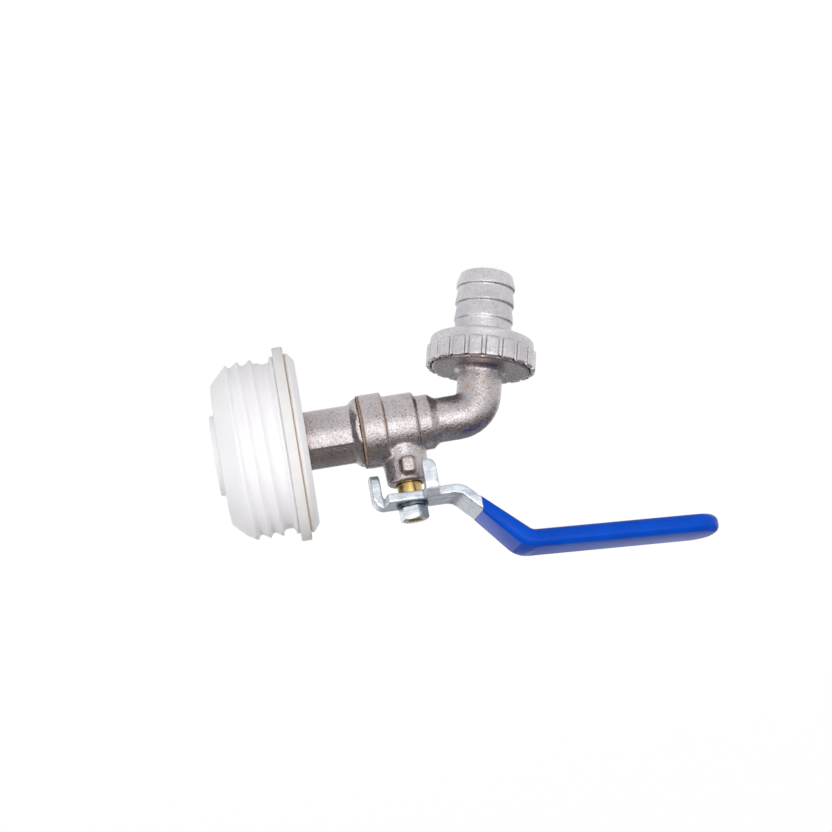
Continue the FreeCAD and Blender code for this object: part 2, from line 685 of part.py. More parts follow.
def make_ball_seat(label, side):
    """A plastic seat ring, hollowed by the ball's own sphere. Side is -1 at the inlet, 1 beyond."""
    sign = "%+d" % side
    ring = turned(label + "_ring", [
        ("Sizes.ball_place %s * %s" % (sign, SEAT_FRONT), SEAT_BORE_RADIUS),
        ("Sizes.ball_place %s * %s" % (sign, SEAT_FRONT), SEAT_OUTER_RADIUS),
        ("Sizes.ball_place %s * %s" % (sign, SEAT_BACK), SEAT_OUTER_RADIUS),
        ("Sizes.ball_place %s * %s" % (sign, SEAT_BACK), SEAT_BORE_RADIUS),
    ])
    hollow = document.addObject("Part::Sphere", label + "_hollow")
    bind(hollow, "Radius", "Sizes.ball_radius + Sizes.running_clearance")
    bind(hollow, "Placement.Base.x", "Sizes.ball_place")
    return node(cut(label, ring, hollow), label)


def turn_with_lever(thing):
    """Place a piece in the lever's frame: on the stem's axis, turned as the lever is."""
    thing.Placement = FreeCAD.Placement(FreeCAD.Vector(), FreeCAD.Rotation(FreeCAD.Vector(0, 0, 1), 1))
    bind(thing, "Placement.Rotation.Angle", "Sizes.lever_turn * 1 deg")
    bind(thing, "Placement.Base.x", "Sizes.ball_place")
    return thing


def lever_block(name, low, high):
    """A box in the lever's frame between two corners given as expressions."""
    body = new_body(name)
    sketch = outline(body, name + "_plan", XY, [
        (low[0], low[1]), (high[0], low[1]), (high[0], high[1]), (low[0], high[1])], lift=low[2])
    feature = body.newObject("PartDesign::Pad", name + "_pad")
    feature.Profile = sketch
    bind(feature, "Length", "(%s) - (%s)" % (high[2], low[2]))
    return turn_with_lever(body)


def make_ball():
    """The bored ball with the slot that the stem's tang turns it by."""
    sphere = document.addObject("Part::Sphere", "ball_sphere")
    bind(sphere, "Radius", "Sizes.ball_radius")
    bind(sphere, "Placement.Base.x", "Sizes.ball_place")
    bore = document.addObject("Part::Cylinder", "ball_bore")
    bind(bore, "Radius", "Sizes.ball_bore_radius")
    bind(bore, "Height", "2 * (Sizes.ball_radius + %s)" % OVERRUN)
    bore.Placement = FreeCAD.Placement(FreeCAD.Vector(), FreeCAD.Rotation(FreeCAD.Vector(0, 1, 0), 90))
    bore.Placement.Base.x = 0
    bore_holder = document.addObject("Part::Compound", "ball_bore_turned")
    bind(bore, "Placement.Base.x", "-Sizes.ball_radius - " + OVERRUN)
    bore_holder.Links = [bore]
    turn_with_lever(bore_holder)
    beyond = "(Sizes.ball_radius + %s)" % OVERRUN
    slot = lever_block(
        "ball_slot",
        ("-" + beyond, "-Sizes.ball_slot_width / 2", SLOT_FLOOR),
        (beyond, "Sizes.ball_slot_width / 2", beyond))
    return node(cut("ball_cut", sphere, fused("ball_tools", [bore_holder, slot])), "ball")


def make_stem():
    """The stem: tang, retaining collar, shaft with two grooves, flats for the lever and a screw end."""
    groove = "(%s - 2 * Sizes.o_ring_section)" % O_RING_REACH
    half = "Sizes.o_ring_groove_width / 2"
    shaft_points = [
        (STEM_COLLAR_PLACE, "0"),
        (STEM_COLLAR_PLACE, STEM_COLLAR_RADIUS),
        (STEM_COLLAR_TOP, STEM_COLLAR_RADIUS),
        (STEM_COLLAR_TOP, "Sizes.stem_radius"),
    ]
    for number in range(2):
        middle = "Sizes.o_ring_place + %d * Sizes.o_ring_pitch" % number
        shaft_points += [
            ("%s - %s" % (middle, half), "Sizes.stem_radius"),
            ("%s - %s" % (middle, half), groove),
            ("%s + %s" % (middle, half), groove),
            ("%s + %s" % (middle, half), "Sizes.stem_radius"),
        ]
    shaft_points += [
        ("Sizes.lever_place", "Sizes.stem_radius"),
        ("Sizes.lever_place", "Sizes.stem_flats_radius"),
        (LEVER_TOP, "Sizes.stem_flats_radius"),
        (LEVER_TOP, "Sizes.stem_screw_radius"),
        ("Sizes.stem_end_place - Sizes.stem_end_chamfer", "Sizes.stem_screw_radius"),
        ("Sizes.stem_end_place", "Sizes.stem_screw_radius - Sizes.stem_end_chamfer"),
        ("Sizes.stem_end_place", "0"),
    ]
    shaft = turned("stem_shaft", shaft_points, ALONG_STEM)
    tang = lever_block(
        "stem_tang",
        ("-Sizes.stem_tang_length / 2", "-%s / 2" % TANG_WIDTH,
         SLOT_FLOOR + " + Sizes.running_clearance"),
        ("Sizes.stem_tang_length / 2", TANG_WIDTH + " / 2", "%s + %s" % (STEM_COLLAR_PLACE, BITE)))
    flats = []
    for name, side in (("near", 1), ("far", -1)):
        inner = "%d * Sizes.stem_flats_width / 2" % side
        outer = "%d * Sizes.stem_radius" % side
        flats.append(lever_block("stem_flat_" + name,
                                 ("-Sizes.stem_radius", inner, "Sizes.lever_place"),
                                 ("Sizes.stem_radius", outer, LEVER_TOP)))
    blank = fused("stem_blank", [shaft, tang])
    return node(cut("stem_cut", blank, fused("stem_flats", flats)), "stem")


def make_o_ring(label, number):
    """A rubber ring that lies in one of the stem's grooves."""
    ring = document.addObject("Part::Torus", label)
    bind(ring, "Radius1", O_RING_REACH + " - Sizes.o_ring_section")
    bind(ring, "Radius2", "Sizes.o_ring_section")
    bind(ring, "Placement.Base.x", "Sizes.ball_place")
    bind(ring, "Placement.Base.z", "Sizes.o_ring_place + %d * Sizes.o_ring_pitch" % number)
    return node(ring, label)


def make_stem_thrust_washer():
    """The slippery washer that the stem's collar bears on."""
    washer = turned("stem_thrust_washer", [
        (STEM_COLLAR_TOP, STEM_BORE_RADIUS),
        (STEM_COLLAR_TOP, STEM_COLLAR_RADIUS),
        (THRUST_TOP, STEM_COLLAR_RADIUS),
        (THRUST_TOP, STEM_BORE_RADIUS),
    ], ALONG_STEM)
    return node(washer, "stem_thrust_washer")


def handle_side(skin, start, end_run):
    """The handle's side view, skin thicker than the steel all round: flat, sloping arm and grip."""
    half = "(Sizes.lever_thickness / 2 + %s)" % skin
    middle = "(Sizes.lever_place + Sizes.lever_thickness / 2)"
    slope = "(Sizes.arm_angle * 1 deg)"
    grip = "(Sizes.handle_angle * 1 deg)"
    knee = "Sizes.arm_start"
    elbow_u = "(Sizes.arm_start + Sizes.arm_run)"
    elbow_z = "(%s + Sizes.arm_run * tan(%s))" % (middle, slope)
    share = "(1 + cos(%s - %s))" % (slope, grip)
    lean_u = "(%s * (sin(%s) + sin(%s)) / %s)" % (half, slope, grip, share)
    lean_z = "(%s * (cos(%s) + cos(%s)) / %s)" % (half, slope, grip, share)
    end_u = "(Sizes.handle_end + %s)" % end_run
    end_z = "(%s + (%s - %s) * tan(%s))" % (elbow_z, end_u, elbow_u, grip)
    tip = ["%s - %s * sin(%s)" % (end_u, half, grip), "%s + %s * cos(%s)" % (end_z, half, grip)]
    toe = ["%s + %s * sin(%s)" % (end_u, half, grip), "%s - %s * cos(%s)" % (end_z, half, grip)]
    elbow_top = ("%s - %s" % (elbow_u, lean_u), "%s + %s" % (elbow_z, lean_z))
    elbow_low = ("%s + %s" % (elbow_u, lean_u), "%s - %s" % (elbow_z, lean_z))
    if start is not None:
        start_z = "(%s + (%s - %s) * tan(%s))" % (middle, start, knee, slope)
        head_low = ("%s + %s * sin(%s)" % (start, half, slope), "%s - %s * cos(%s)" % (start_z, half, slope))
        head_top = ("%s - %s * sin(%s)" % (start, half, slope), "%s + %s * cos(%s)" % (start_z, half, slope))
        return [head_low, elbow_low, tuple(toe), tuple(tip), elbow_top, head_top]
    knee_shift = "%s * tan(%s / 2)" % (half, slope)
    inner = "-Sizes.rear_tab_reach + Sizes.lever_thickness"
    return [
        (inner, "%s - %s" % (middle, half)),
        ("%s + %s" % (knee, knee_shift), "%s - %s" % (middle, half)),
        elbow_low, tuple(toe), tuple(tip), elbow_top,
        ("%s - %s" % (knee, knee_shift), "%s + %s" % (middle, half)),
        (inner, "%s + %s" % (middle, half)),
    ]


def bent_strip(name, points, width, skin, outer_radius, inner_radius):
    """A strip of the given side view and width, with its bends rounded inside and outside."""
    strip = new_body(name)
    pad = padded(strip, outline(strip, name + "_side", XZ, points), name + "_pad", width)
    knee = value("Sizes.arm_start")
    far_knee = value("Sizes.arm_start + Sizes.arm_run")
    middle = value("Sizes.lever_place + Sizes.lever_thickness / 2")
    rise = math.tan(math.radians(value("Sizes.arm_angle")))
    reach = value("0.6 * (Sizes.lever_thickness / 2 + %s)" % skin)

    def at_bend(edge):
        along = edge.CenterOfMass.x
        across = runs_along(edge, FreeCAD.Vector(0, 1, 0))
        return across and min(abs(along - knee), abs(along - far_knee)) < reach

    def above_arm(edge):
        spot = edge.CenterOfMass
        return spot.z > middle + (spot.x - knee) * rise

    def is_outer(edge):
        at_knee = edge.CenterOfMass.x < (knee + far_knee) / 2
        return at_bend(edge) and above_arm(edge) != at_knee

    def is_inner(edge):
        return at_bend(edge) and not is_outer(edge)

    first = rounded(strip, pad, name + "_outer_bends", outer_radius, is_outer)
    rounded(strip, first, name + "_inner_bends", inner_radius, is_inner)
    return strip


def tab_section(name, role, points, length, lift):
    """An upturned tab: its bent section, drawn in the lever's frame, and its width."""
    body = new_body(name)
    sketch = outline(body, name + "_section", role, points, lift=lift)
    pad = padded(body, sketch, name + "_pad", length)
    return body, pad


def make_near_tab():
    """The tab on the lever's near side, which meets the lug when the tap is open."""
    inner_face = "Sizes.near_tab_reach - Sizes.lever_thickness"
    root = "Sizes.lever_head_half_width - 4 * " + BITE
    body, pad = tab_section("near_tab", YZ, [
        (root, "Sizes.lever_place"),
        (inner_face, "Sizes.lever_place"),
        (inner_face, "Sizes.tab_top_place"),
        ("Sizes.near_tab_reach", "Sizes.tab_top_place"),
        ("Sizes.near_tab_reach", LEVER_TOP),
        (root, LEVER_TOP),
    ], "Sizes.near_tab_width", "Sizes.near_tab_start + Sizes.near_tab_width / 2")
    return finish_tab(body, pad, "near_tab", FreeCAD.Vector(1, 0, 0), FreeCAD.Vector(0, 1, 0))


def make_rear_tab():
    """The tab behind the stem, which meets the lug when the tap is shut."""
    inner_face = "-Sizes.rear_tab_reach + Sizes.lever_thickness"
    root = "%s + 4 * %s" % (inner_face, BITE)
    width = "(Sizes.lever_half_width - Sizes.rear_tab_edge)"
    body, pad = tab_section("rear_tab", XZ, [
        (root, "Sizes.lever_place"),
        (inner_face, "Sizes.lever_place"),
        (inner_face, "Sizes.tab_top_place"),
        ("-Sizes.rear_tab_reach", "Sizes.tab_top_place"),
        ("-Sizes.rear_tab_reach", LEVER_TOP),
        (root, LEVER_TOP),
    ], width, "Sizes.rear_tab_edge + %s / 2" % width)
    return finish_tab(body, pad, "rear_tab", FreeCAD.Vector(0, 1, 0), FreeCAD.Vector(1, 0, 0))


def finish_tab(body, pad, name, bend_axis, thick_axis):
    """Round a tab's bend and its free end: one corner a little, the other into a wide ear."""
    top = value("Sizes.tab_top_place")
    base = value("Sizes.lever_place")
    roof = value(LEVER_TOP)
    outer_side = -value("Sizes.rear_tab_reach") if name == "rear_tab" else value("Sizes.near_tab_reach")

    def at_outer_bend(edge):
        spot = edge.CenterOfMass
        along = spot.dot(thick_axis)
        return runs_along(edge, bend_axis) and abs(spot.z - roof) < 0.01 and abs(along - outer_side) < 0.01

    def at_inner_bend(edge):
        spot = edge.CenterOfMass
        along = abs(spot.dot(thick_axis) - outer_side)
        thickness = value("Sizes.lever_thickness")
        return runs_along(edge, bend_axis) and abs(spot.z - base) < 0.01 and abs(along - thickness) < 0.01

    def at_free_end(edge):
        return runs_along(edge, thick_axis) and abs(edge.CenterOfMass.z - top) < 0.01

    def at_ear(edge):
        return at_free_end(edge) and edge.CenterOfMass.dot(bend_axis) > middle

    def at_small_corner(edge):
        return at_free_end(edge) and edge.CenterOfMass.dot(bend_axis) < middle

    outer_radius = "Sizes.tab_bend_radius + Sizes.lever_thickness - Sizes.tab_bend_thinning"
    first = rounded(body, pad, name + "_outer_bend", outer_radius, at_outer_bend)
    second = rounded(body, first, name + "_inner_bend", "Sizes.tab_bend_radius", at_inner_bend)
    middle = second.Shape.BoundBox.Center.dot(bend_axis)
    third = rounded(body, second, name + "_corner", "Sizes.tab_corner_round", at_small_corner)
    rounded(body, third, name + "_ear", "Sizes.tab_ear_round", at_ear)
    return turn_with_lever(body)


def make_lever_plate():
    """The pressed steel lever: flat head on the stem, two stop tabs, sloping arm and long grip."""
    strip = bent_strip("lever_strip", handle_side("0", None, "0"), "2 * Sizes.lever_half_width", "0",
                       "Sizes.bend_inner_radius + Sizes.lever_thickness", "Sizes.bend_inner_radius")
    tip = value("Sizes.handle_end")
    upright = FreeCAD.Vector(math.sin(math.radians(-value("Sizes.handle_angle"))), 0,
                             math.cos(math.radians(value("Sizes.handle_angle"))))
    rounded(strip, strip.Tip, "lever_tip", "Sizes.handle_tip_round",
            lambda edge: runs_along(edge, upright) and edge.CenterOfMass.x > tip - 3)
    turn_with_lever(strip)
    blank = fused("lever_blank", [strip, make_near_tab(), make_rear_tab()])
    below = "Sizes.lever_place - " + OVERRUN
    above = "%s + %s" % (LEVER_TOP, OVERRUN)
    notch = lever_block(
        "head_notch",
        ("-Sizes.rear_tab_reach - " + OVERRUN, "Sizes.lever_head_half_width", below),
        ("Sizes.near_tab_start", "Sizes.lever_half_width + " + OVERRUN, above))
    hole = turned("lever_hole_round", [
        (below, "0"),
        (below, "Sizes.stem_flats_radius + Sizes.lever_hole_clearance"),
        (above, "Sizes.stem_flats_radius + Sizes.lever_hole_clearance"),
        (above, "0"),
    ], ALONG_STEM)
    half = "(Sizes.stem_flats_width / 2 + Sizes.lever_hole_clearance)"
    flats = lever_block(
        "lever_hole_flats",
        ("-Sizes.stem_radius", "-" + half, below),
        ("Sizes.stem_radius", half, above))
    slot = document.addObject("Part::Common", "lever_hole")
    slot.Base = hole
    slot.Tool = flats
    return node(cut("lever_pressing", blank, fused("lever_cuts", [notch, slot])), "lever_plate")


def make_lever_sleeve(plate):
    """The dipped plastic skin over the arm and the grip, hollowed by the steel that it covers."""
    skin = "Sizes.sleeve_skin"
    strip = bent_strip("sleeve_form", handle_side(skin, "Sizes.sleeve_start", skin),
                       "2 * (Sizes.lever_half_width + Sizes.sleeve_skin)", skin,
                       "Sizes.bend_inner_radius + Sizes.lever_thickness + Sizes.sleeve_skin",
                       "Sizes.bend_inner_radius - Sizes.sleeve_skin")
    tip = value("Sizes.handle_end + Sizes.sleeve_skin")
    grip = math.radians(value("Sizes.handle_angle"))
    upright = FreeCAD.Vector(-math.sin(grip), 0, math.cos(grip))
    shaped = rounded(strip, strip.Tip, "sleeve_tip", "Sizes.handle_tip_round + Sizes.sleeve_skin",
                     lambda edge: runs_along(edge, upright) and edge.CenterOfMass.x > tip - 3)
    side = value("Sizes.lever_half_width + Sizes.sleeve_skin")
    start = value("Sizes.sleeve_start")
    slope = math.radians(value("Sizes.arm_angle"))
    across_arm = FreeCAD.Vector(-math.sin(slope), 0, math.cos(slope))
    end_reach = value("Sizes.lever_thickness + Sizes.sleeve_skin")
    tip_reach = value("Sizes.handle_tip_round") + 3

    def on_rim(edge):
        spot = edge.CenterOfMass
        if runs_along(edge, upright) or runs_along(edge, across_arm):
            return False
        if spot.x < start + end_reach and runs_along(edge, FreeCAD.Vector(0, 1, 0)):
            return False
        return abs(abs(spot.y) - side) < 0.01 or spot.x > tip - tip_reach

    rounded(strip, shaped, "sleeve_rims", "Sizes.sleeve_edge_round", on_rim)
    turn_with_lever(strip)
    return node(cut("sleeve_shell", strip, plate), "lever_sleeve")


def make_lever_washer():
    washer = turned("lever_washer", [
        (LEVER_TOP, "Sizes.stem_screw_radius + Sizes.fastener_clearance"),
        (LEVER_TOP, "Sizes.lever_washer_radius"),
        (WASHER_TOP, "Sizes.lever_washer_radius"),
        (WASHER_TOP, "Sizes.stem_screw_radius + Sizes.fastener_clearance"),
    ], ALONG_STEM)
    return node(washer, "lever_washer")


def make_lever_nut():
    """The hexagon nut on the stem's screw end."""
    corners = "Sizes.lever_nut_flats / 2 / cos(30 deg)"
    prism = document.addObject("Part::Prism", "lever_nut_prism")
    prism.Polygon = 6
    bind(prism, "Circumradius", corners)
    bind(prism, "Height", "Sizes.lever_nut_height")
    bind(prism, "Placement.Rotation.Angle", "Sizes.lever_nut_turn * 1 deg")
    bind(prism, "Placement.Base.x", "Sizes.ball_place")
    bind(prism, "Placement.Base.z", WASHER_TOP)
    nut_top = "(%s + Sizes.lever_nut_height)" % WASHER_TOP
    crown = turned("lever_nut_crown", [
        (WASHER_TOP, "Sizes.stem_screw_radius + Sizes.fastener_clearance"),
        (WASHER_TOP, "Sizes.lever_nut_flats / 2"),
        (WASHER_TOP + " + Sizes.lever_nut_chamfer", corners),
        (nut_top + " - Sizes.lever_nut_chamfer", corners),
        (nut_top, "Sizes.lever_nut_flats / 2"),
        (nut_top, "Sizes.stem_screw_radius + Sizes.fastener_clearance"),
    ], ALONG_STEM)
    nut = document.addObject("Part::Common", "lever_nut")
    nut.Base = prism
    nut.Tool = crown
    return node(nut, "lever_nut")


def make_union_washer():
    washer = turned("union_washer", [
        (SPIGOT_END, "Sizes.union_washer_bore"),
        (SPIGOT_END, "Sizes.spigot_thread_radius - Sizes.union_washer_margin"),
        (COLLAR_FACE, "Sizes.spigot_thread_radius - Sizes.union_washer_margin"),
        (COLLAR_FACE, "Sizes.union_washer_bore"),
    ], ALONG_OUTLET)
    return node(washer, "union_washer")


def make_hose_tail():
    """The hose tail: collar under the nut's roof, neck, barbs that rise away from the tip, bore."""
    collar = "Sizes.spigot_thread_radius - Sizes.tail_collar_margin"
    points = [
        (COLLAR_FACE, "Sizes.tail_bore_radius"),
        (COLLAR_FACE, collar),
        (COLLAR_BACK, collar),
        (COLLAR_BACK, TAIL_NECK_RADIUS),
        ("Sizes.barb_first_place", TAIL_NECK_RADIUS),
    ]
    count = int(value("Sizes.barb_count"))
    for number in range(count):
        crest = "Sizes.barb_first_place + %d * Sizes.barb_pitch" % number
        points += [
            (crest, "Sizes.barb_radius"),
            (crest + " + Sizes.barb_land", "Sizes.barb_radius"),
        ]
        if number < count - 1:
            points.append((crest + " + Sizes.barb_pitch", BARB_ROOT_RADIUS))
    points += [
        (TAIL_END + " - Sizes.tail_tip_round", TAIL_TIP_RADIUS),
        (TAIL_END, TAIL_TIP_RADIUS + " - Sizes.tail_tip_round"),
        (TAIL_END, "Sizes.tail_bore_radius"),
    ]
    return node(turned("hose_tail", points, ALONG_OUTLET), "hose_tail")


def make_union_nut():
    """The union nut: skirt round the outlet's disc, threaded bore, roof, and a grooved grip band."""
    rib_end = "(%s + Sizes.nut_rib_length)" % NUT_START
    shoulder_end = "(%s + Sizes.nut_shoulder_length)" % rib_end
    dome_end = "(%s + Sizes.nut_dome_length)" % shoulder_end
    roof_face = "(%s + Sizes.nut_roof_thickness)" % COLLAR_BACK
    shoulder = "(%s - Sizes.nut_groove_depth)" % NUT_RADIUS
    thread = "(Sizes.spigot_thread_radius + Sizes.nut_thread_clearance)"
    skirt = "(%s + Sizes.nut_clearance)" % DISC_RADIUS
    disc_clear = "(%s + Sizes.nut_disc_gap)" % DISC_TOP
    nut = turned("union_nut", [
        (NUT_START, skirt),
        (NUT_START, NUT_RADIUS + " - Sizes.nut_skirt_chamfer"),
        (NUT_START + " + Sizes.nut_skirt_chamfer", NUT_RADIUS),
        (rib_end + " - Sizes.nut_rib_chamfer", NUT_RADIUS),
        (rib_end, NUT_RADIUS + " - Sizes.nut_rib_chamfer"),
        (rib_end, shoulder),
        (shoulder_end, shoulder),
        (shoulder_end + " + Sizes.nut_shoulder_bend", shoulder + " - Sizes.nut_shoulder_fall"),
        (dome_end, NUT_DOME_RADIUS),
        (roof_face, NUT_MOUTH_RADIUS + " + Sizes.nut_mouth_chamfer"),
        (roof_face + " - Sizes.nut_mouth_chamfer", NUT_MOUTH_RADIUS),
        (COLLAR_BACK, NUT_MOUTH_RADIUS),
        (COLLAR_BACK, thread),
        (disc_clear, thread),
        (disc_clear, skirt),
    ], ALONG_OUTLET)
    half = "Sizes.nut_groove_width / 2"
    beyond = "%s + %s" % (NUT_RADIUS, OVERRUN)
    sketch = outline(nut, "groove_section", YZ, [
        ("-" + half, shoulder),
        (half, shoulder),
        (half, beyond),
        ("-" + half, beyond),
    ], lift=NUT_START + " + Sizes.nut_rib_length / 2")
    groove = nut.newObject("PartDesign::Pocket", "groove")
    groove.Profile = sketch
    groove.Midplane = True
    bind(groove, "Length", "Sizes.nut_rib_length + 0.02")
    grooves = nut.newObject("PartDesign::PolarPattern", "grooves")
    grooves.Originals = [groove]
    grooves.Axis = (sketch, ["N_Axis"])
    grooves.Angle = 360
    bind(grooves, "Occurrences", "Sizes.nut_groove_count")
    nut.Tip = grooves
    return node(nut, "union_nut")


make_bung_plug()
make_bung_gasket()
make_inlet_seal()
make_inlet_end_piece()
make_end_piece_seal()
make_tap_body()
make_ball_seat("inlet_ball_seat", -1)
make_ball_seat("outlet_ball_seat", 1)
make_ball()
make_stem()
make_o_ring("stem_o_ring_lower", 0)
make_o_ring("stem_o_ring_upper", 1)
make_stem_thrust_washer()
lever_plate = make_lever_plate()
make_lever_sleeve(lever_plate)
make_lever_washer()
make_lever_nut()
make_union_washer()
make_hose_tail()
make_union_nut()
document.recompute()

for thing in document.Objects:
    if "Invalid" in thing.State or "Error" in thing.State:
        raise RuntimeError("%s failed: %s" % (thing.Name, thing.State))

os.makedirs("parts", exist_ok=True)
for piece in nodes:
    shape = piece.Shape
    if shape.isNull() or not shape.isValid():
        raise RuntimeError("%s has no valid shape" % piece.Label)
    shape.exportStep("parts/%s.step" % piece.Label)
    box = shape.BoundBox
    print("%-20s solids %d volume %9.1f  x %.1f %.1f  y %.1f %.1f  z %.1f %.1f" % (
        piece.Label, len(shape.Solids), shape.Volume,
        box.XMin, box.XMax, box.YMin, box.YMax, box.ZMin, box.ZMax))
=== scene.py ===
# %% [markdown]
# A drum tap, step by step.
# The object is a plastic bung that screws into a drum, with a nickel-plated lever tap screwed into the
# bung. The construction model already holds every piece at its real size, so this script loads it as a
# fixed frame and gives each piece its looks: softened edges, a real thread, and a finish that is built
# from what the piece is made of. Each step says what the real thing is before it makes it.

# %% Load the construction model
import bpy
import json
import math
from mathutils import Matrix, Vector


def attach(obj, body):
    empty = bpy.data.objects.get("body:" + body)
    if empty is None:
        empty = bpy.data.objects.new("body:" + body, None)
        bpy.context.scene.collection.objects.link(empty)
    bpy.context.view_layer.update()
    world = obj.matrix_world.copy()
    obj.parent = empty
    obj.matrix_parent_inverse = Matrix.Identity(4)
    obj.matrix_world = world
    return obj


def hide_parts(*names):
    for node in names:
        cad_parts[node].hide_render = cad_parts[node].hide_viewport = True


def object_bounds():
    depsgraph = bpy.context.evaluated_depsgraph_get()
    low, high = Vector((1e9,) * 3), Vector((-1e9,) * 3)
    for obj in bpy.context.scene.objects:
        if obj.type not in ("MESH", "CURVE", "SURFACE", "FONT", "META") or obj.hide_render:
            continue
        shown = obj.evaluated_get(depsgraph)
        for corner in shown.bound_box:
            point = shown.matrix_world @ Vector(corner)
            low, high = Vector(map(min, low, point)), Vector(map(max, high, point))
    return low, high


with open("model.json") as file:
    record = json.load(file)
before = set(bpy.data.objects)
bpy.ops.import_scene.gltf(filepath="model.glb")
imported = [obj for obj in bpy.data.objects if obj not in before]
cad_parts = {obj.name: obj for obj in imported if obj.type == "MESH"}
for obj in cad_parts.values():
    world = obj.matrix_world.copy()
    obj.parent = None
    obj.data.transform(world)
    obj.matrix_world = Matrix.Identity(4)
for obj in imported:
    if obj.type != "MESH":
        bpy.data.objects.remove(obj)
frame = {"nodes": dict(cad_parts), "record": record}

MM = 0.001
NODES = frame["nodes"]
BODY_OF = {node: body for body, nodes in frame["record"]["behaviour"]["bodies"].items() for node in nodes}
JOINTS = {joint["name"]: joint for joint in frame["record"]["behaviour"]["joints"]}
cad_low, cad_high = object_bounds()
print("construction box, mm:", [round((high - low) / MM, 1) for low, high in zip(cad_low, cad_high)])

# %% [markdown]
# The camera comes first, because everything is judged through it. The photo was taken with a long lens
# from about 0.63 m, a little above the tap, with the lever up. It is shown upside down, so the camera
# hangs head down: its own up direction points at the floor.

# %% Camera
CAMERA_PLACE = Vector((0.0008, 0.6090, 0.1478))
CAMERA_FORWARD = Vector((0.0648, -0.9688, -0.2391)).normalized()
CAMERA_RIGHT = Vector((0.9851, 0.0240, 0.1700))
SENSOR = 36.0
PHOTO_WIDTH = 832
FOCAL_PIXELS = 2000.0

right = (CAMERA_RIGHT - CAMERA_FORWARD * CAMERA_RIGHT.dot(CAMERA_FORWARD)).normalized()
up = right.cross(CAMERA_FORWARD)
lens = bpy.data.cameras.new("photo_camera")
lens.sensor_width = SENSOR
lens.lens = FOCAL_PIXELS / PHOTO_WIDTH * SENSOR
lens.clip_start = 0.01
lens.clip_end = 100.0
camera = bpy.data.objects.new("photo_camera", lens)
bpy.context.collection.objects.link(camera)
turn = Matrix((right, up, -CAMERA_FORWARD)).transposed().to_4x4()
camera.matrix_world = Matrix.Translation(CAMERA_PLACE) @ turn
bpy.context.scene.camera = camera
print("lens, mm:", round(lens.lens, 2))

# %% [markdown]
# Small helpers for modelling as by hand: select one object, go into edit mode, come back. An operator
# acts on all that is selected, so every step starts from nothing selected.


# %% Helpers for modelling
SHARP_DEGREES = 35.0
SAME_PLACE = 0.002 * MM


def only(*objects):
    """Select these objects and nothing else; the first is the active one."""
    if bpy.context.mode != "OBJECT":
        bpy.ops.object.mode_set(mode="OBJECT")
    bpy.ops.object.select_all(action="DESELECT")
    for thing in objects:
        thing.select_set(True)
    bpy.context.view_layer.objects.active = objects[0]


def edit_all(thing):
    """Edit mode with all of the mesh selected."""
    only(thing)
    bpy.ops.object.mode_set(mode="EDIT")
    bpy.ops.mesh.select_all(action="SELECT")


def modify(thing, kind, **settings):
    """Add a modifier and apply it at once."""
    modifier = thing.modifiers.new(kind.title(), kind)
    for name, setting in settings.items():
        setattr(modifier, name, setting)
    only(thing)
    bpy.ops.object.modifier_apply(modifier=modifier.name)


def smooth_shading(thing, degrees=SHARP_DEGREES):
    """Shade smoothly over every edge that turns by less than this."""
    only(thing)
    bpy.ops.object.shade_smooth_by_angle(angle=math.radians(degrees))


def finish_piece(thing, node, name):
    """Let a new piece stand for its construction node and move with the node's body."""
    thing.name = name
    thing.data.name = name
    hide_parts(node)
    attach(thing, BODY_OF[node])
    print(name, "faces:", len(thing.data.polygons))
    return thing


def copy_of(node, name):
    """A copy of a construction node as one closed mesh with its flat triangles joined into faces."""
    thing = bpy.data.objects.new(name, NODES[node].data.copy())
    thing.data.materials.clear()
    bpy.context.collection.objects.link(thing)
    edit_all(thing)
    bpy.ops.mesh.remove_doubles(threshold=SAME_PLACE)
    bpy.ops.mesh.dissolve_limited(angle_limit=math.radians(0.5))
    bpy.ops.object.mode_set(mode="OBJECT")
    return thing


def soften(thing, width, segments=2):
    """Round the sharp edges by a small bevel, as tools and plating leave them."""
    modify(thing, "BEVEL", width=width, segments=segments, limit_method="ANGLE",
           angle_limit=math.radians(SHARP_DEGREES), use_clamp_overlap=True, miter_outer="MITER_ARC")
    smooth_shading(thing)


def softened(node, name, width, segments=2):
    """A copy of a construction node with its sharp edges softened, in the node's place."""
    thing = copy_of(node, name)
    soften(thing, width, segments)
    return finish_piece(thing, node, name)


def remade(thing, voxel_mm, rounds):
    """Rebuild a solid from small cubes and relax it, which rounds all of its corners at once."""
    modify(thing, "REMESH", mode="VOXEL", voxel_size=voxel_mm * MM)
    modify(thing, "SMOOTH", factor=0.5, iterations=rounds)
    smooth_shading(thing, 60.0)
    return thing


def relaxed(node, name, voxel_mm, rounds):
    """A remade copy of a construction node, in the node's place."""
    return finish_piece(remade(copy_of(node, name), voxel_mm, rounds), node, name)


def choose(thing, kind, wanted):
    """Edit mode with the vertices or edges chosen whose ends all pass a test of their place."""
    edit_all(thing)
    bpy.ops.mesh.select_mode(type=kind)
    bpy.ops.mesh.select_all(action="DESELECT")
    bpy.ops.object.mode_set(mode="OBJECT")
    mesh = thing.data
    if kind == "VERT":
        for vertex in mesh.vertices:
            vertex.select = wanted(vertex.co)
    else:
        for edge in mesh.edges:
            edge.select = all(wanted(mesh.vertices[end].co) for end in edge.vertices)
    bpy.ops.object.mode_set(mode="EDIT")


# %% [markdown]
# Every finish is a small graph of nodes. One function adds a node with its settings and links, and one
# function turns an sRGB hex colour, as a colour chart gives it, into the linear values that light needs.


# %% Helpers for materials
def linear(code):
    """Linear RGBA of an sRGB hex colour such as "#a0b0c0"."""
    channels = [int(code[start:start + 2], 16) / 255 for start in (1, 3, 5)]
    return [c / 12.92 if c <= 0.04045 else ((c + 0.055) / 1.055) ** 2.4 for c in channels] + [1.0]


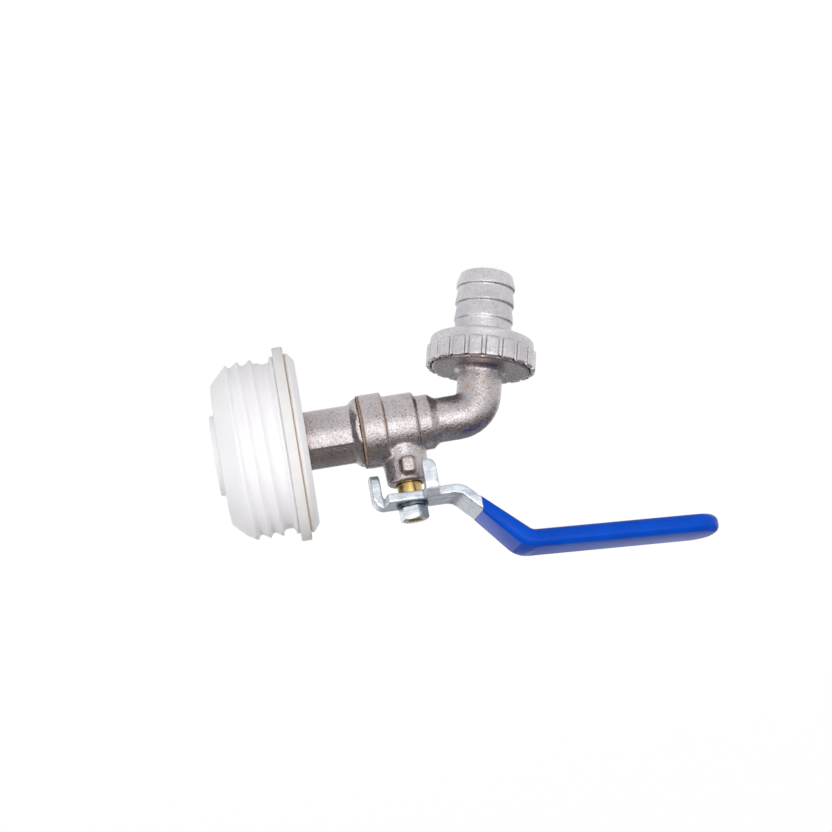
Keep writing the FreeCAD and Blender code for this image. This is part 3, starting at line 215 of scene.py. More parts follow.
def add_node(tree, kind, links=None, settings=None, **values):
    """Add a node: settings are its properties, values its sockets' numbers, links its inputs."""
    made = tree.nodes.new("ShaderNode" + kind)
    for name, setting in (settings or {}).items():
        setattr(made, name, setting)
    for name, number in values.items():
        made.inputs[name.replace("_", " ")].default_value = number
    for name, output in (links or {}).items():
        tree.links.new(output, made.inputs[name])
    return made


def ramp(tree, source, stops):
    """A colour ramp over a value: stops are (place, hex colour)."""
    made = add_node(tree, "ValToRGB", {"Fac": source})
    elements = made.color_ramp.elements
    while len(elements) < len(stops):
        elements.new(0.5)
    for element, (place, code) in zip(elements, stops):
        element.position = place
        element.color = linear(code)
    return made.outputs["Color"]


def new_material(name):
    """An empty material and its tree."""
    material = bpy.data.materials.new(name)
    material.use_nodes = True
    material.node_tree.nodes.clear()
    return material, material.node_tree


def close_material(tree, shader):
    add_node(tree, "OutputMaterial", {"Surface": shader.outputs[0]})


def noise(tree, size_mm, detail=3.0, roughness=0.55, stretch=(1.0, 1.0, 1.0), distortion=0.0):
    """Noise whose grains are about size_mm across, read in the object's own metres."""
    place = add_node(tree, "TexCoord").outputs["Object"]
    scaled = add_node(tree, "Mapping", {"Vector": place}, Scale=stretch)
    return add_node(tree, "TexNoise", {"Vector": scaled.outputs["Vector"]},
                    Scale=0.5 / (size_mm * MM), Detail=detail, Roughness=roughness, Distortion=distortion)


def wear(material, *things):
    """Give a finish to pieces."""
    for thing in things:
        thing.data.materials.clear()
        thing.data.materials.append(material)


# %% [markdown]
# The forging, the union nut and the end piece are brass, blasted and plated with satin nickel. Blasting
# leaves a fine grain that breaks reflections into sparkle, and the plating is warm grey. The grain is
# drawn about as coarse as it looks in the photo. Small brown spots lie over it and its hollows are darker.
# Painted shade darkens its corners and joints, and on the forging and end piece a painted warm reflection
# tints the wider corners, as the pipe tints the disc.


# %% Satin nickel
def painted_shade_share(tree, reach_mm):
    """1 on open surfaces, falling to 0 where another surface stands within reach_mm: where shade falls, for
    painted shade.
    """
    return add_node(tree, "AmbientOcclusion", settings={"samples": 8, "only_local": False},
                    Distance=reach_mm * MM).outputs["AO"]


def mixed(tree, blend, share, first, second):
    """Two colours joined: each may be a node's output or a hex colour, and the share a number or output."""
    made = add_node(tree, "Mix", settings={"data_type": "RGBA", "blend_type": blend})
    for socket, source in ((0, share), (6, first), (7, second)):
        if isinstance(source, str):
            made.inputs[socket].default_value = linear(source)
        elif isinstance(source, float):
            made.inputs[socket].default_value = source
        else:
            tree.links.new(source, made.inputs[socket])
    return made.outputs[2]


def stained(tree, surface, stains):
    """Rusty stains at known places: a list of (x, y, z, radius) in mm, broken up by noise."""
    place = add_node(tree, "TexCoord").outputs["Object"]
    share = None
    for x, y, z, radius in stains:
        middle = add_node(tree, "VectorMath", {0: place}, {"operation": "DISTANCE"})
        middle.inputs[1].default_value = (x * MM, y * MM, z * MM)
        near = add_node(tree, "MapRange", {"Value": middle.outputs["Value"]}, **{
            "From_Min": 1.5 * radius * MM, "From_Max": 0.3 * radius * MM, "To_Min": 0.0, "To_Max": 1.0})
        if share is None:
            share = near.outputs["Result"]
        else:
            nearest = add_node(tree, "Math", {0: share, 1: near.outputs["Result"]}, {"operation": "MAXIMUM"})
            share = nearest.outputs[0]
    flakes = ramp(tree, noise(tree, 0.5, detail=3.0).outputs["Fac"], [(0.44, "#000000"), (0.56, "#ffffff")])
    broken = add_node(tree, "Math", {0: share, 1: flakes}, {"operation": "MULTIPLY"}).outputs[0]
    return mixed(tree, "MIX", broken, surface, "#bb9263")


def satin_nickel(name, base, dark, grain_mm, grain_height_mm, roughness, speckle_share, stain_share,
                 worn_share, corner_mm, stains=()):
    """Plating with blasted grain, brown spots, worn edges, dark hollows, painted shade in its corners, and
    stains where they are given, over a painted warm reflection.
    """
    material, tree = new_material(name)
    grain = noise(tree, grain_mm, detail=2.5, distortion=0.9)
    patches = noise(tree, 5.0, detail=4.0)
    tone = ramp(tree, patches.outputs["Fac"], [(0.35, dark), (0.65, base)])
    speckle = ramp(tree, grain.outputs["Fac"], [(0.34, "#9f968e"), (0.52, "#ffffff")])
    surface = mixed(tree, "MULTIPLY", speckle_share, tone, speckle)
    spots = noise(tree, 2.2, detail=5.0, roughness=0.7)
    mask = ramp(tree, spots.outputs["Fac"], [(0.64, "#000000"), (0.76, stain_share)])
    surface = mixed(tree, "MIX", mask, surface, "#a87850")
    bend = add_node(tree, "NewGeometry").outputs["Pointiness"]
    worn = ramp(tree, bend, [(0.51, "#000000"), (0.545, worn_share)])
    surface = mixed(tree, "MIX", worn, surface, "#ab8b70")
    hollow = ramp(tree, bend, [(0.40, "#6a5848"), (0.465, "#ffffff")])
    surface = mixed(tree, "MULTIPLY", 1.0, surface, hollow)
    # Painted shade: darker and browner where another surface stands within corner_mm, in joints, corners and
    # under the crests.
    corner = ramp(tree, painted_shade_share(tree, corner_mm), [(0.25, "#6f5f52"), (0.75, "#ffffff")])
    surface = mixed(tree, "MULTIPLY", 1.0, surface, corner)
    if stains:
        # Painted reflection: a warm tint where another surface stands within 3.5 mm, for the brown that the
        # pipe casts on the disc.
        painted_warm_reflection = ramp(tree, painted_shade_share(tree, 3.5), [(0.30, "#d2b29c"), (0.75, "#ffffff")])
        surface = stained(tree, mixed(tree, "MULTIPLY", 1.0, surface, painted_warm_reflection), stains)
    bump = add_node(tree, "Bump", {"Height": grain.outputs["Fac"]}, Strength=1.0,
                    Distance=grain_height_mm * MM)
    rough = add_node(tree, "MapRange", {"Value": grain.outputs["Fac"]}, **{
        "From_Min": 0.3, "From_Max": 0.7, "To_Min": roughness - 0.05, "To_Max": roughness + 0.05})
    shader = add_node(tree, "BsdfPrincipled", {
        "Base Color": surface, "Normal": bump.outputs["Normal"], "Roughness": rough.outputs["Result"]},
        Metallic=1.0)
    close_material(tree, shader)
    return material


# Where the photo shows stains on the forging's skin: x, y, z and radius, in mm.
PIPE_STAINS = [(58.8, 6.0, -8.0, 0.9), (63.6, 7.0, -8.6, 0.7), (62.0, 7.1, -4.7, 0.5),
               (64.8, 5.5, -1.2, 0.4), (61.6, 6.8, -11.1, 0.8), (65.5, 6.7, -10.2, 0.8)]
DISC_STAINS = [(71.6, 0.5, -11.6, 0.6), (74.1, -3.3, -11.2, 0.9)]
CONE_STAINS = [(46.0, 8.4, 0.8, 0.5)]

BLASTED_NICKEL = satin_nickel(
    "blasted_nickel_plated_brass", base="#c5bec0", dark="#b6afb1", grain_mm=0.36, grain_height_mm=0.145,
    roughness=0.29, speckle_share=0.5, stain_share="#909090", worn_share="#e0e0e0", corner_mm=1.2,
    stains=PIPE_STAINS + DISC_STAINS + CONE_STAINS)
TAIL_NICKEL = satin_nickel(
    "tumbled_nickel_plated_brass", base="#d6d3d8", dark="#c3c0c6", grain_mm=0.34, grain_height_mm=0.13,
    roughness=0.33, speckle_share=0.30, stain_share="#101010", worn_share="#303030", corner_mm=0.5)
NUT_NICKEL = satin_nickel(
    "barrelled_nickel_plated_brass", base="#dbd8dc", dark="#c8c5c9", grain_mm=0.34, grain_height_mm=0.13,
    roughness=0.33, speckle_share=0.30, stain_share="#202020", worn_share="#303030", corner_mm=0.5)

# %% [markdown]
# The lever is pressed steel with a bright zinc plating. Zinc crystals give it a bluish, faintly cloudy
# look, with the rolling marks of the sheet showing through as long soft streaks.


# %% Zinc plating
def zinc_plating(name, dark, light, metal):
    """Cloudy bluish plating, streaked by the rolled sheet under it, with painted shade that darkens it in
    its corners.
    """
    material, tree = new_material(name)
    clouds = noise(tree, 2.5, detail=5.0, roughness=0.6)
    streaks = noise(tree, 0.5, detail=3.0, stretch=(0.12, 1.0, 1.0))
    colour = ramp(tree, clouds.outputs["Fac"], [(0.3, dark), (0.7, light)])
    scuffs = ramp(tree, streaks.outputs["Fac"], [(0.35, "#d3dae2"), (0.60, "#ffffff")])
    colour = mixed(tree, "MULTIPLY", 0.8, colour, scuffs)
    # Painted shade: near black where another surface stands within 0.8 mm, such as under the washer and at
    # the tabs' bends.
    corner = ramp(tree, painted_shade_share(tree, 0.8), [(0.20, "#39414a"), (0.70, "#ffffff")])
    colour = mixed(tree, "MULTIPLY", 1.0, colour, corner)
    rough = add_node(tree, "MapRange", {"Value": clouds.outputs["Fac"]}, **{
        "From_Min": 0.3, "From_Max": 0.7, "To_Min": 0.20, "To_Max": 0.34})
    fine = add_node(tree, "Bump", {"Height": streaks.outputs["Fac"]}, Strength=1.0, Distance=0.02 * MM)
    waves = add_node(tree, "Bump", {"Height": clouds.outputs["Fac"], "Normal": fine.outputs["Normal"]},
                     Strength=1.0, Distance=0.12 * MM)
    shader = add_node(tree, "BsdfPrincipled", {
        "Base Color": colour, "Normal": waves.outputs["Normal"], "Roughness": rough.outputs["Result"]},
        Metallic=metal)
    close_material(tree, shader)
    return material


ZINC = zinc_plating("bright_zinc_plated_steel", dark="#bcc6d1", light="#eef1f4", metal=0.65)
NUT_ZINC = zinc_plating("polished_zinc_plated_steel", dark="#e2e7ec", light="#fbfcfd", metal=1.0)
# The washer's zinc is painted dark: painted shade for the shadow between the nut and the lever.
PAINTED_SHADE_ZINC = zinc_plating("zinc_plated_steel_painted_shade", dark="#4c585e", light="#7c868e", metal=1.0)

# %% [markdown]
# Bare brass shows only at the stem: turned on a lathe, so its fine grooves run round the stem's axis and
# draw the light into bands. Rings are circles about the stem, so the pattern is a wave in the height.


# %% Turned brass
def turned_brass(name):
    material, tree = new_material(name)
    place = add_node(tree, "TexCoord").outputs["Object"]
    rings = add_node(tree, "TexWave", {"Vector": place}, {"wave_type": "BANDS", "bands_direction": "Z"},
                     Scale=0.16 / (0.25 * MM), Distortion=0.6, Detail=2.0)
    bump = add_node(tree, "Bump", {"Height": rings.outputs["Fac"]}, Strength=1.0, Distance=0.012 * MM)
    tarnish = noise(tree, 1.5, detail=4.0)
    colour = ramp(tree, tarnish.outputs["Fac"], [(0.3, "#a98c52"), (0.7, "#d9bf86")])
    shader = add_node(tree, "BsdfPrincipled", {"Base Color": colour, "Normal": bump.outputs["Normal"]},
                      Metallic=1.0, Roughness=0.22)
    close_material(tree, shader)
    return material


BRASS = turned_brass("turned_brass")

# %% [markdown]
# The bung is moulded high-density polyethylene: white, waxy, a little translucent, so light bleeds
# through thin edges and softens every shadow. The gasket is a pale rubber, matte and slightly warm. A tan
# line along its edge on the tap's side is painted shadow, for the gap between gasket and flange. The same
# function makes black rubber, sealant and PTFE.


# %% Plastics and rubber
def moulded(name, light, dark, patch_mm, roughness, bleed_mm, grain_mm, grain_height_mm, line=None):
    """A moulded material. A line (start, end, colour) turns it to that colour from start to end in x, mm."""
    material, tree = new_material(name)
    patches = noise(tree, patch_mm, detail=3.0)
    colour = ramp(tree, patches.outputs["Fac"], [(0.3, dark), (0.7, light)])
    if line:
        place = add_node(tree, "SeparateXYZ", {"Vector": add_node(tree, "TexCoord").outputs["Object"]})
        share = add_node(tree, "MapRange", {"Value": place.outputs["X"]}, **{
            "From_Min": line[0] * MM, "From_Max": line[1] * MM, "To_Min": 0.0, "To_Max": 1.0})
        colour = mixed(tree, "MIX", share.outputs["Result"], colour, line[2])
    grain = noise(tree, grain_mm, detail=2.0)
    bump = add_node(tree, "Bump", {"Height": grain.outputs["Fac"]}, Strength=1.0,
                    Distance=grain_height_mm * MM)
    shader = add_node(tree, "BsdfPrincipled", {"Base Color": colour, "Normal": bump.outputs["Normal"]},
                      Roughness=roughness, Subsurface_Weight=0.3 if bleed_mm else 0.0,
                      Subsurface_Radius=(1.0, 1.0, 1.0), Subsurface_Scale=max(bleed_mm, 0.1) * MM)
    close_material(tree, shader)
    return material


HDPE = moulded("moulded_white_polyethylene", light="#fafafd", dark="#f4f3f8", patch_mm=9.0,
               roughness=0.42, bleed_mm=0.6, grain_mm=0.6, grain_height_mm=0.008)
# From x 2.95 mm on, the gasket turns tan: painted shadow along its edge where it meets the flange.
PALE_RUBBER = moulded("pale_gasket_rubber", light="#efedee", dark="#e8e6e7", patch_mm=5.0, roughness=0.62,
                      bleed_mm=0.2, grain_mm=0.3, grain_height_mm=0.01, line=(2.95, 3.2, "#d9c8b2"))
BLACK_RUBBER = moulded("black_nitrile_rubber", light="#1c1c1d", dark="#121213", patch_mm=3.0,
                       roughness=0.55, bleed_mm=0.0, grain_mm=0.3, grain_height_mm=0.01)
SEALANT = moulded("cured_thread_sealant", light="#a08d80", dark="#7c695c", patch_mm=0.7, roughness=0.5,
                  bleed_mm=0.0, grain_mm=0.4, grain_height_mm=0.04)
PTFE = moulded("white_ptfe", light="#eeeeea", dark="#e2e2dc", patch_mm=3.0, roughness=0.4, bleed_mm=0.5,
               grain_mm=0.4, grain_height_mm=0.005)

# %% [markdown]
# The grip is dipped: the hot lever goes into liquid PVC, which gels on it as a thick glossy skin. The
# skin is smooth but never quite even, so the highlight along it wanders a little.


# %% Dipped PVC
def dipped_pvc(name):
    material, tree = new_material(name)
    depth = noise(tree, 7.0, detail=2.0)
    colour = ramp(tree, depth.outputs["Fac"], [(0.3, "#0043b6"), (0.7, "#004fca")])
    orange_peel = noise(tree, 1.8, detail=2.0)
    bump = add_node(tree, "Bump", {"Height": orange_peel.outputs["Fac"]}, Strength=1.0, Distance=0.03 * MM)
    shader = add_node(tree, "BsdfPrincipled", {"Base Color": colour, "Normal": bump.outputs["Normal"]},
                      Roughness=0.22, Specular_IOR_Level=0.10)
    close_material(tree, shader)
    return material


BLUE_PVC = dipped_pvc("dipped_blue_pvc")

# %% [markdown]
# The ball is brass with a hard chrome plate, polished so that the seats seal on it. It is inside the
# body, and shows only down the bore.


# %% Polished chrome
def polished_chrome(name):
    material, tree = new_material(name)
    marks = noise(tree, 0.4, detail=3.0)
    colour = ramp(tree, marks.outputs["Fac"], [(0.3, "#d6d7da"), (0.7, "#e6e7ea")])
    shader = add_node(tree, "BsdfPrincipled", {"Base Color": colour}, Metallic=1.0, Roughness=0.08)
    close_material(tree, shader)
    return material


CHROME = polished_chrome("polished_chrome_plate")

# %% [markdown]
# What sits inside the tap hardly shows from outside, so softer edges would be wasted on it. Those pieces
# keep their construction shapes and only get their finish.

# %% Inner pieces
wear(BLACK_RUBBER, NODES["inlet_seal"], NODES["stem_o_ring_lower"], NODES["stem_o_ring_upper"],
     NODES["union_washer"])
wear(PTFE, NODES["inlet_ball_seat"], NODES["outlet_ball_seat"], NODES["stem_thrust_washer"])
wear(CHROME, NODES["ball"])

# %% [markdown]
# A brown line shows in the joint between end piece and body: most likely sealant that was squeezed out as
# the joint closed. So it stands further out than in the solids, and covers the soft edges beside it.

# %% Squeezed sealant
JOINT_PLACE = (23.8 * MM, 0.0, 0.0)
SQUEEZE = (2.2, 1.055, 1.055)

squeezed_sealant = copy_of("end_piece_seal", "squeezed_sealant")
edit_all(squeezed_sealant)
bpy.ops.transform.resize(value=SQUEEZE, center_override=JOINT_PLACE)
bpy.ops.object.mode_set(mode="OBJECT")
smooth_shading(squeezed_sealant)
finish_piece(squeezed_sealant, "end_piece_seal", "squeezed_sealant")
wear(SEALANT, squeezed_sealant)

# %% [markdown]
# The body is a forging: hot brass squeezed between dies, so no inner corner is sharp and every edge is
# soft. Filleting each meeting of boss, housing and elbow by hand would be slow. Instead the solid is
# rebuilt from small cubes, voxels, and relaxed, which rounds all of its corners at once. Two edges are
# softer than that, so a bevel eases them first: the mouth's end and the waist's end. The root of the
# elbow, where the cone runs into the pipe, is relaxed once more afterwards.

# %% Forged body
# Edges that run round the tap's own axis: place along it, radius and width of the bevel, in mm.
WAIST_END = (41.35, 10.18, 0.9)
MOUTH_END = (31.25, 11.66, 0.4)
ELBOW_ROOT = (46.8 * MM, 50.0 * MM)
ON_EDGE = 0.03 * MM


def on_ring(place_mm, radius_mm):
    """The test for a circle round the tap's own axis."""
    def wanted(spot):
        across = math.hypot(spot.y, spot.z)
        return abs(spot.x - place_mm * MM) < ON_EDGE and abs(across - radius_mm * MM) < ON_EDGE
    return wanted


body_forging = copy_of("tap_body", "body_forging")
for place_mm, radius_mm, width_mm in (WAIST_END, MOUTH_END):
    choose(body_forging, "EDGE", on_ring(place_mm, radius_mm))
    bpy.ops.object.mode_set(mode="OBJECT")
    print("edges to ease:", sum(edge.select for edge in body_forging.data.edges))
    bpy.ops.object.mode_set(mode="EDIT")
    bpy.ops.mesh.bevel(offset=width_mm * MM, segments=4, affect="EDGES")
remade(body_forging, voxel_mm=0.36, rounds=4)
choose(body_forging, "VERT", lambda spot: ELBOW_ROOT[0] < spot.x < ELBOW_ROOT[1])
bpy.ops.mesh.vertices_smooth(factor=0.5, repeat=5)
bpy.ops.object.mode_set(mode="OBJECT")
finish_piece(body_forging, "tap_body", "body_forging")
wear(BLASTED_NICKEL, body_forging)

# %% [markdown]
# The end piece looks forged too, as if its two dies had met a little out of line: the upper skin of the
# stub overhangs the lower one along the parting plane. A bar of a wider curve, cut down to the part above
# that plane and joined to the stub, makes the step.

# %% End piece
STUB_SPAN = (6.6 * MM, 21.2 * MM)
PARTING_TURN = math.radians(32.0)
OVERHANG_RADIUS = 10.7 * MM
OVERHANG_SINK = 1.6 * MM
OVERHANG_BACK = 1.08 * MM

along_parting = Vector((0.0, math.cos(PARTING_TURN), math.sin(PARTING_TURN)))
proud_side = Vector((0.0, math.sin(PARTING_TURN), -math.cos(PARTING_TURN)))
end_piece = copy_of("inlet_end_piece", "end_piece")
bpy.ops.object.select_all(action="DESELECT")
bpy.ops.mesh.primitive_cylinder_add(vertices=160, radius=OVERHANG_RADIUS, depth=STUB_SPAN[1] - STUB_SPAN[0])
half_stub = bpy.context.active_object
edit_all(half_stub)
bpy.ops.transform.rotate(value=math.radians(90.0), orient_axis="Y", center_override=(0.0, 0.0, 0.0))
bpy.ops.transform.translate(value=Vector(((STUB_SPAN[0] + STUB_SPAN[1]) / 2, 0.0, 0.0))
                            - proud_side * OVERHANG_SINK - along_parting * OVERHANG_BACK)
for kept_side in (proud_side, along_parting):
    bpy.ops.mesh.select_all(action="SELECT")
    bpy.ops.mesh.bisect(plane_co=(0.0, 0.0, 0.0), plane_no=kept_side, use_fill=True, clear_inner=True)
bpy.ops.object.mode_set(mode="OBJECT")
modify(end_piece, "BOOLEAN", operation="UNION", solver="EXACT", object=half_stub)
bpy.data.objects.remove(half_stub)
remade(end_piece, voxel_mm=0.34, rounds=3)
finish_piece(end_piece, "inlet_end_piece", "end_piece")
wear(BLASTED_NICKEL, end_piece)

# %% [markdown]
# The outlet leans away from the drum, and the tail and its nut share that lean. Each barb of the tail has
# a narrow land behind its crest, as a tool leaves it that isn't quite sharp. A new ring of vertices on
# each slope, moved outwards, makes the land.

# %% Hose tail
ELBOW_PLACE = Vector(JOINTS["nut_turn"]["pos_m"])
OUTWARDS = Vector(JOINTS["nut_turn"]["axis"]).normalized()
FIRST_CREST = 29.85 * MM
CREST_SPACING = 5.5 * MM
CREST_COUNT = 3
CREST_LAND = 1.5 * MM
LAND_RADIUS = 9.36 * MM
PAST_BORE = 9.0 * MM
ON_CUT = 0.05 * MM

barbed_tail = copy_of("hose_tail", "barbed_tail")
for number in range(CREST_COUNT):
    middle = ELBOW_PLACE + OUTWARDS * (FIRST_CREST + number * CREST_SPACING + CREST_LAND)
    edit_all(barbed_tail)
    bpy.ops.mesh.bisect(plane_co=middle, plane_no=OUTWARDS)

    def on_land(spot):
        beside = spot - middle
        return abs(beside.dot(OUTWARDS)) < ON_CUT and beside.length > PAST_BORE

    choose(barbed_tail, "VERT", on_land)
    bpy.ops.object.mode_set(mode="OBJECT")
    ring = [vertex.co for vertex in barbed_tail.data.vertices if vertex.select]
    growth = LAND_RADIUS / (sum((spot - middle).length for spot in ring) / len(ring))
    bpy.ops.object.mode_set(mode="EDIT")
    bpy.ops.transform.resize(value=(growth, growth, growth), center_override=middle)
    bpy.ops.object.mode_set(mode="OBJECT")
remade(barbed_tail, voxel_mm=0.28, rounds=3)
finish_piece(barbed_tail, "hose_tail", "barbed_tail")
wear(TAIL_NICKEL, barbed_tail)

# %% [markdown]
# The nut's grooves are milled right through the rim that faces the body, and the cutter leaves a small
# bite there. Balls at the ends of the grooves cut the bites.

# %% Union nut
GROOVE_COUNT = 20
GROOVE_FLOOR = 16.3 * MM
BITE_PLACE = 14.4 * MM
BITE_RADIUS = 0.75 * MM

front = Vector((0.0, 1.0, 0.0))
sidewards = OUTWARDS.cross(front)
balls = []
for number in range(GROOVE_COUNT):
    angle = 2 * math.pi * number / GROOVE_COUNT
    spot = front * math.cos(angle) + sidewards * math.sin(angle)
    bpy.ops.object.select_all(action="DESELECT")
    bpy.ops.mesh.primitive_ico_sphere_add(
        subdivisions=3, radius=BITE_RADIUS,
        location=ELBOW_PLACE + OUTWARDS * BITE_PLACE + spot * GROOVE_FLOOR)
    balls.append(bpy.context.active_object)
only(*balls)
bpy.ops.object.join()
bites = bpy.context.active_object
union_nut = copy_of("union_nut", "ribbed_union_nut")
modify(union_nut, "BOOLEAN", operation="DIFFERENCE", solver="EXACT", object=bites)
bpy.data.objects.remove(bites)
remade(union_nut, voxel_mm=0.28, rounds=3)
finish_piece(union_nut, "union_nut", "ribbed_union_nut")
wear(NUT_NICKEL, union_nut)

# %% [markdown]
# The lever is cut and bent from thick sheet. Its edges look as round as the forging's, so it is rebuilt
# from voxels in the same way. Turned and moulded pieces have crisper edges: a small bevel is enough.

# %% Stem, lever and gasket
wear(BRASS, softened("stem", "turned_stem", 0.06 * MM))
wear(ZINC, relaxed("lever_plate", "pressed_lever", voxel_mm=0.36, rounds=5))
wear(PAINTED_SHADE_ZINC, softened("lever_washer", "plain_washer", 0.10 * MM))
wear(NUT_ZINC, softened("lever_nut", "hexagon_nut", 0.10 * MM))
wear(PALE_RUBBER, softened("bung_gasket", "sealing_gasket", 0.25 * MM, segments=3))

# %% [markdown]
# The lever hung by its head as it was dipped, so the plastic ends in a level line: square to the grip,
# not to the arm. The skin is drawn out a little along the arm and then cut by that level plane.

# %% Dipped sleeve
LEVER_TURN = Matrix.Rotation(math.radians(-8.0), 3, "Z")
STEM_PLACE = Vector(JOINTS["lever_turn"]["pos_m"])
ARM_SLOPE = math.radians(45.5)
GRIP_SLOPE = math.radians(2.6)
SKIN_START = Vector((19.85, 0.0, 28.84)) * MM
DIP_LINE = Vector((20.25, 0.0, 29.25)) * MM
DRAWN_OUT = 3.0 * MM
ON_DIP_LINE = 0.02 * MM
# The outer ring of the cut lies past these, to the sides and up or down, and the inner ring within them.
BETWEEN_RINGS_ASIDE = 8.0 * MM
BETWEEN_RINGS_UP = 2.6 * MM
THIN_EDGE = (0.89, 0.89, 0.66)

arm = LEVER_TURN @ Vector((math.cos(ARM_SLOPE), 0.0, math.sin(ARM_SLOPE)))
grip = LEVER_TURN @ Vector((math.cos(GRIP_SLOPE), 0.0, math.sin(GRIP_SLOPE)))
skin_start = STEM_PLACE + LEVER_TURN @ SKIN_START
dipped_sleeve = copy_of("lever_sleeve", "dipped_sleeve")
choose(dipped_sleeve, "VERT", lambda spot: abs((spot - skin_start).dot(arm)) < ON_CUT)
bpy.ops.transform.translate(value=arm * -DRAWN_OUT)
dip_line = STEM_PLACE + LEVER_TURN @ DIP_LINE
bpy.ops.mesh.select_all(action="SELECT")
bpy.ops.mesh.bisect(plane_co=dip_line, plane_no=grip, use_fill=True, clear_inner=True)


def on_outer_edge(spot):
    """The test for the outer ring of the cut."""
    beside = spot - dip_line
    aside = abs((LEVER_TURN.inverted() @ beside).y) > BETWEEN_RINGS_ASIDE
    above_or_below = abs(beside.z) > BETWEEN_RINGS_UP
    return abs(beside.dot(grip)) < ON_DIP_LINE and (aside or above_or_below)


choose(dipped_sleeve, "VERT", on_outer_edge)
bpy.ops.transform.resize(value=THIN_EDGE, center_override=dip_line)
bpy.ops.object.mode_set(mode="OBJECT")
soften(dipped_sleeve, 0.15 * MM)
finish_piece(dipped_sleeve, "lever_sleeve", "dipped_sleeve")
wear(BLUE_PVC, dipped_sleeve)

# %% [markdown]
# The bung carries the coarse buttress thread of a drum's opening: 4 mm from crest to crest, a steep flank
# that faces the flange and carries the load, and a long sloping flank towards the drum. The construction
# solid is a plain cylinder at the crests. A mould leaves the groove between the crests, so the groove is
# what gets modelled: one section, screwed round the bung, and cut out of the solid.

# %% Threaded bung
THREAD_PITCH = 4.0 * MM
CREST_RADIUS = 28.0 * MM
ROOT_RADIUS = 26.35 * MM
THREAD_START = -18.3 * MM
THREAD_TURNS = 3.2
STEPS_PER_TURN = 100
PROUD_RADIUS = CREST_RADIUS + 1.0 * MM
# The groove's corners: mm along the bung, and share of the thread's depth.
GROOVE_SECTION = [(0.15, 0.0), (0.75, 1.0), (1.45, 1.0), (3.75, 0.0)]


def groove_cutter():
    """The space between the crests, as a closed helical bar that stands out past the crests."""
    depth = CREST_RADIUS - ROOT_RADIUS
    section = [(THREAD_START + along * MM, CREST_RADIUS - share * depth) for along, share in GROOVE_SECTION]
    section = [(section[0][0], PROUD_RADIUS)] + section + [(section[-1][0], PROUD_RADIUS)]
    mesh = bpy.data.meshes.new("groove_section")
    count = len(section)
    mesh.from_pydata([(x, radius, 0.0) for x, radius in section],
                     [(index, (index + 1) % count) for index in range(count)], [])
    bar = bpy.data.objects.new("groove_cutter", mesh)
    bpy.context.collection.objects.link(bar)
    steps = round(STEPS_PER_TURN * THREAD_TURNS)
    modify(bar, "SCREW", axis="X", angle=2 * math.pi * THREAD_TURNS,
           screw_offset=THREAD_PITCH * THREAD_TURNS, steps=steps, render_steps=steps,
           use_merge_vertices=False)
    edit_all(bar)
    bpy.ops.mesh.fill_holes(sides=0)
    bpy.ops.mesh.select_all(action="SELECT")
    bpy.ops.mesh.normals_make_consistent(inside=False)
    bpy.ops.object.mode_set(mode="OBJECT")
    return bar


moulded_bung = copy_of("bung_plug", "moulded_bung")
cutter = groove_cutter()
modify(moulded_bung, "BOOLEAN", operation="DIFFERENCE", solver="EXACT", object=cutter)
bpy.data.objects.remove(cutter)
remade(moulded_bung, voxel_mm=0.52, rounds=2)
finish_piece(moulded_bung, "bung_plug", "moulded_bung")
wear(HDPE, moulded_bung)

# %% [markdown]
# The studio has a pale floor under the outlet. White paper under soft lamps alone would look grey, so to
# the camera and in reflections most of it glows white. The rest stays paper and keeps the object's shadow.

# %% Floor
FLOOR_SIZE = 80.0
FLOOR_GAP = 0.2 * MM
bpy.ops.object.select_all(action="DESELECT")
bpy.ops.mesh.primitive_plane_add(size=FLOOR_SIZE, location=(0.0, 0.0, cad_low.z - FLOOR_GAP))
floor = bpy.context.active_object
floor.name = "studio_floor"


def seen_directly(tree):
    """1 for the rays that should meet the bare background: from the camera, or by gloss or glass."""
    path = add_node(tree, "LightPath")
    either = add_node(tree, "Math", {0: path.outputs["Is Camera Ray"], 1: path.outputs["Is Glossy Ray"]},
                      {"operation": "MAXIMUM"})
    return add_node(tree, "Math", {0: either.outputs[0], 1: path.outputs["Is Transmission Ray"]},
                    {"operation": "MAXIMUM"}).outputs[0]


def floor_finish(glow_share, glow_strength):
    """White paper that keeps the object's shadow under a part of its own glow."""
    material, tree = new_material("white_paper_floor")
    share = add_node(tree, "Math", {0: seen_directly(tree)}, {"operation": "MULTIPLY"})
    share.inputs[1].default_value = glow_share
    paper = add_node(tree, "BsdfDiffuse", Color=linear("#f4f4f4"))
    glow = add_node(tree, "Emission", Color=(1.0, 1.0, 1.0, 1.0), Strength=glow_strength)
    both = add_node(tree, "MixShader", {0: share.outputs[0], 1: paper.outputs[0], 2: glow.outputs[0]})
    close_material(tree, both)
    return material


wear(floor_finish(glow_share=0.84, glow_strength=1.12), floor)

# %% [markdown]
# Plated metal has no colour of its own: it shows the room. So the room is two skies, one before and one
# behind the object. Both are white near the floor and grey further up, and the one behind is darkest low
# down. The grey ceiling draws the dark bands on the lever's side of every pipe. Each sky is a ramp over
# how far a ray points up.

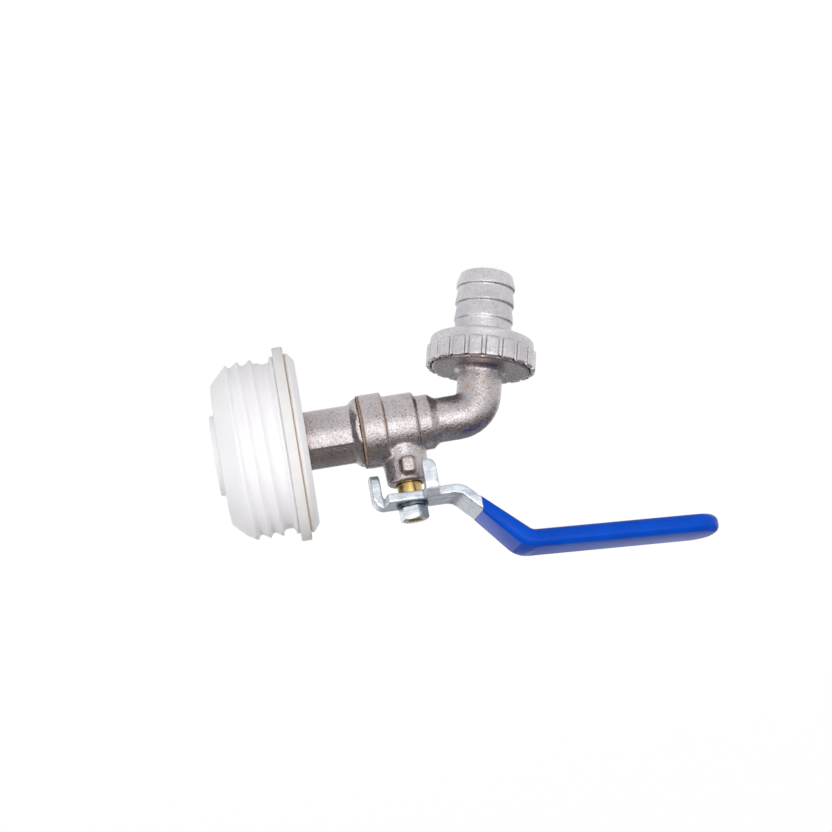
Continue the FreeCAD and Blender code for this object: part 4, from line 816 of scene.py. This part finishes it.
# %% Surround
FRONT_SKY = [(0.0, "#ffffff"), (0.50, "#ffffff"), (0.62, "#8a837e"), (1.0, "#827b77")]
BACK_SKY = [(0.13, "#ffffff"), (0.22, "#76777f"), (0.45, "#71727c"), (0.58, "#b4b2b2"), (0.70, "#b0aeae"),
            (0.82, "#8c8682")]
world = bpy.data.worlds.new("studio")
bpy.context.scene.world = world
world.use_nodes = True
sky = world.node_tree
sky.nodes.clear()
direction = add_node(sky, "SeparateXYZ", {"Vector": add_node(sky, "TexCoord").outputs["Generated"]})
facing = add_node(sky, "MapRange", {"Value": direction.outputs["Y"]}, {"interpolation_type": "SMOOTHSTEP"},
                  **{"From_Min": -0.35, "From_Max": 0.35, "To_Min": 0.0, "To_Max": 1.0})
front = ramp(sky, direction.outputs["Z"], FRONT_SKY)
back = ramp(sky, direction.outputs["Z"], BACK_SKY)
surround = add_node(sky, "Background", {"Color": mixed(sky, "MIX", facing.outputs["Result"], back, front)})
add_node(sky, "OutputWorld", {"Surface": surround.outputs[0]})


# %% [markdown]
# Most lamps stand on the camera's side. A small one gives the narrow bright streak on each pipe, and a
# card behind the object lights what the others miss. The two fill lamps only lift the shadows, so gloss
# doesn't show them.


# %% Lamps
def soft_lamp(name, place, aim, size, watts):
    """A square softbox that faces a point."""
    lamp = bpy.data.lights.new(name, "AREA")
    lamp.shape = "SQUARE"
    lamp.size = size
    lamp.energy = watts
    holder = bpy.data.objects.new(name, lamp)
    bpy.context.collection.objects.link(holder)
    holder.location = place
    holder.rotation_mode = "QUATERNION"
    holder.rotation_quaternion = (Vector(aim) - Vector(place)).to_track_quat("-Z", "Y")
    return holder


TAP_MIDDLE = (0.04, 0.0, 0.0)
soft_lamp("front_softbox", (0.1, 1.4, 0.30), TAP_MIDDLE, size=1.4, watts=7.5)
soft_lamp("key_lamp", (0.1, 1.4, 0.03), TAP_MIDDLE, size=0.15, watts=0.6)
soft_lamp("back_card", (-0.56, -1.36, 0.29), TAP_MIDDLE, size=0.55, watts=0.45)
soft_lamp("side_softbox", (-1.2, 0.7, 0.6), TAP_MIDDLE, size=0.9, watts=2.5)
fill = soft_lamp("fill_softbox", (0.0, 1.4, 0.02), TAP_MIDDLE, size=1.0, watts=4.5)
fill.visible_glossy = False
upper_fill = soft_lamp("upper_fill_softbox", (0.0, 0.5, 1.4), TAP_MIDDLE, size=1.0, watts=1.5)
upper_fill.visible_glossy = False

bpy.context.scene.view_settings.view_transform = "Standard"
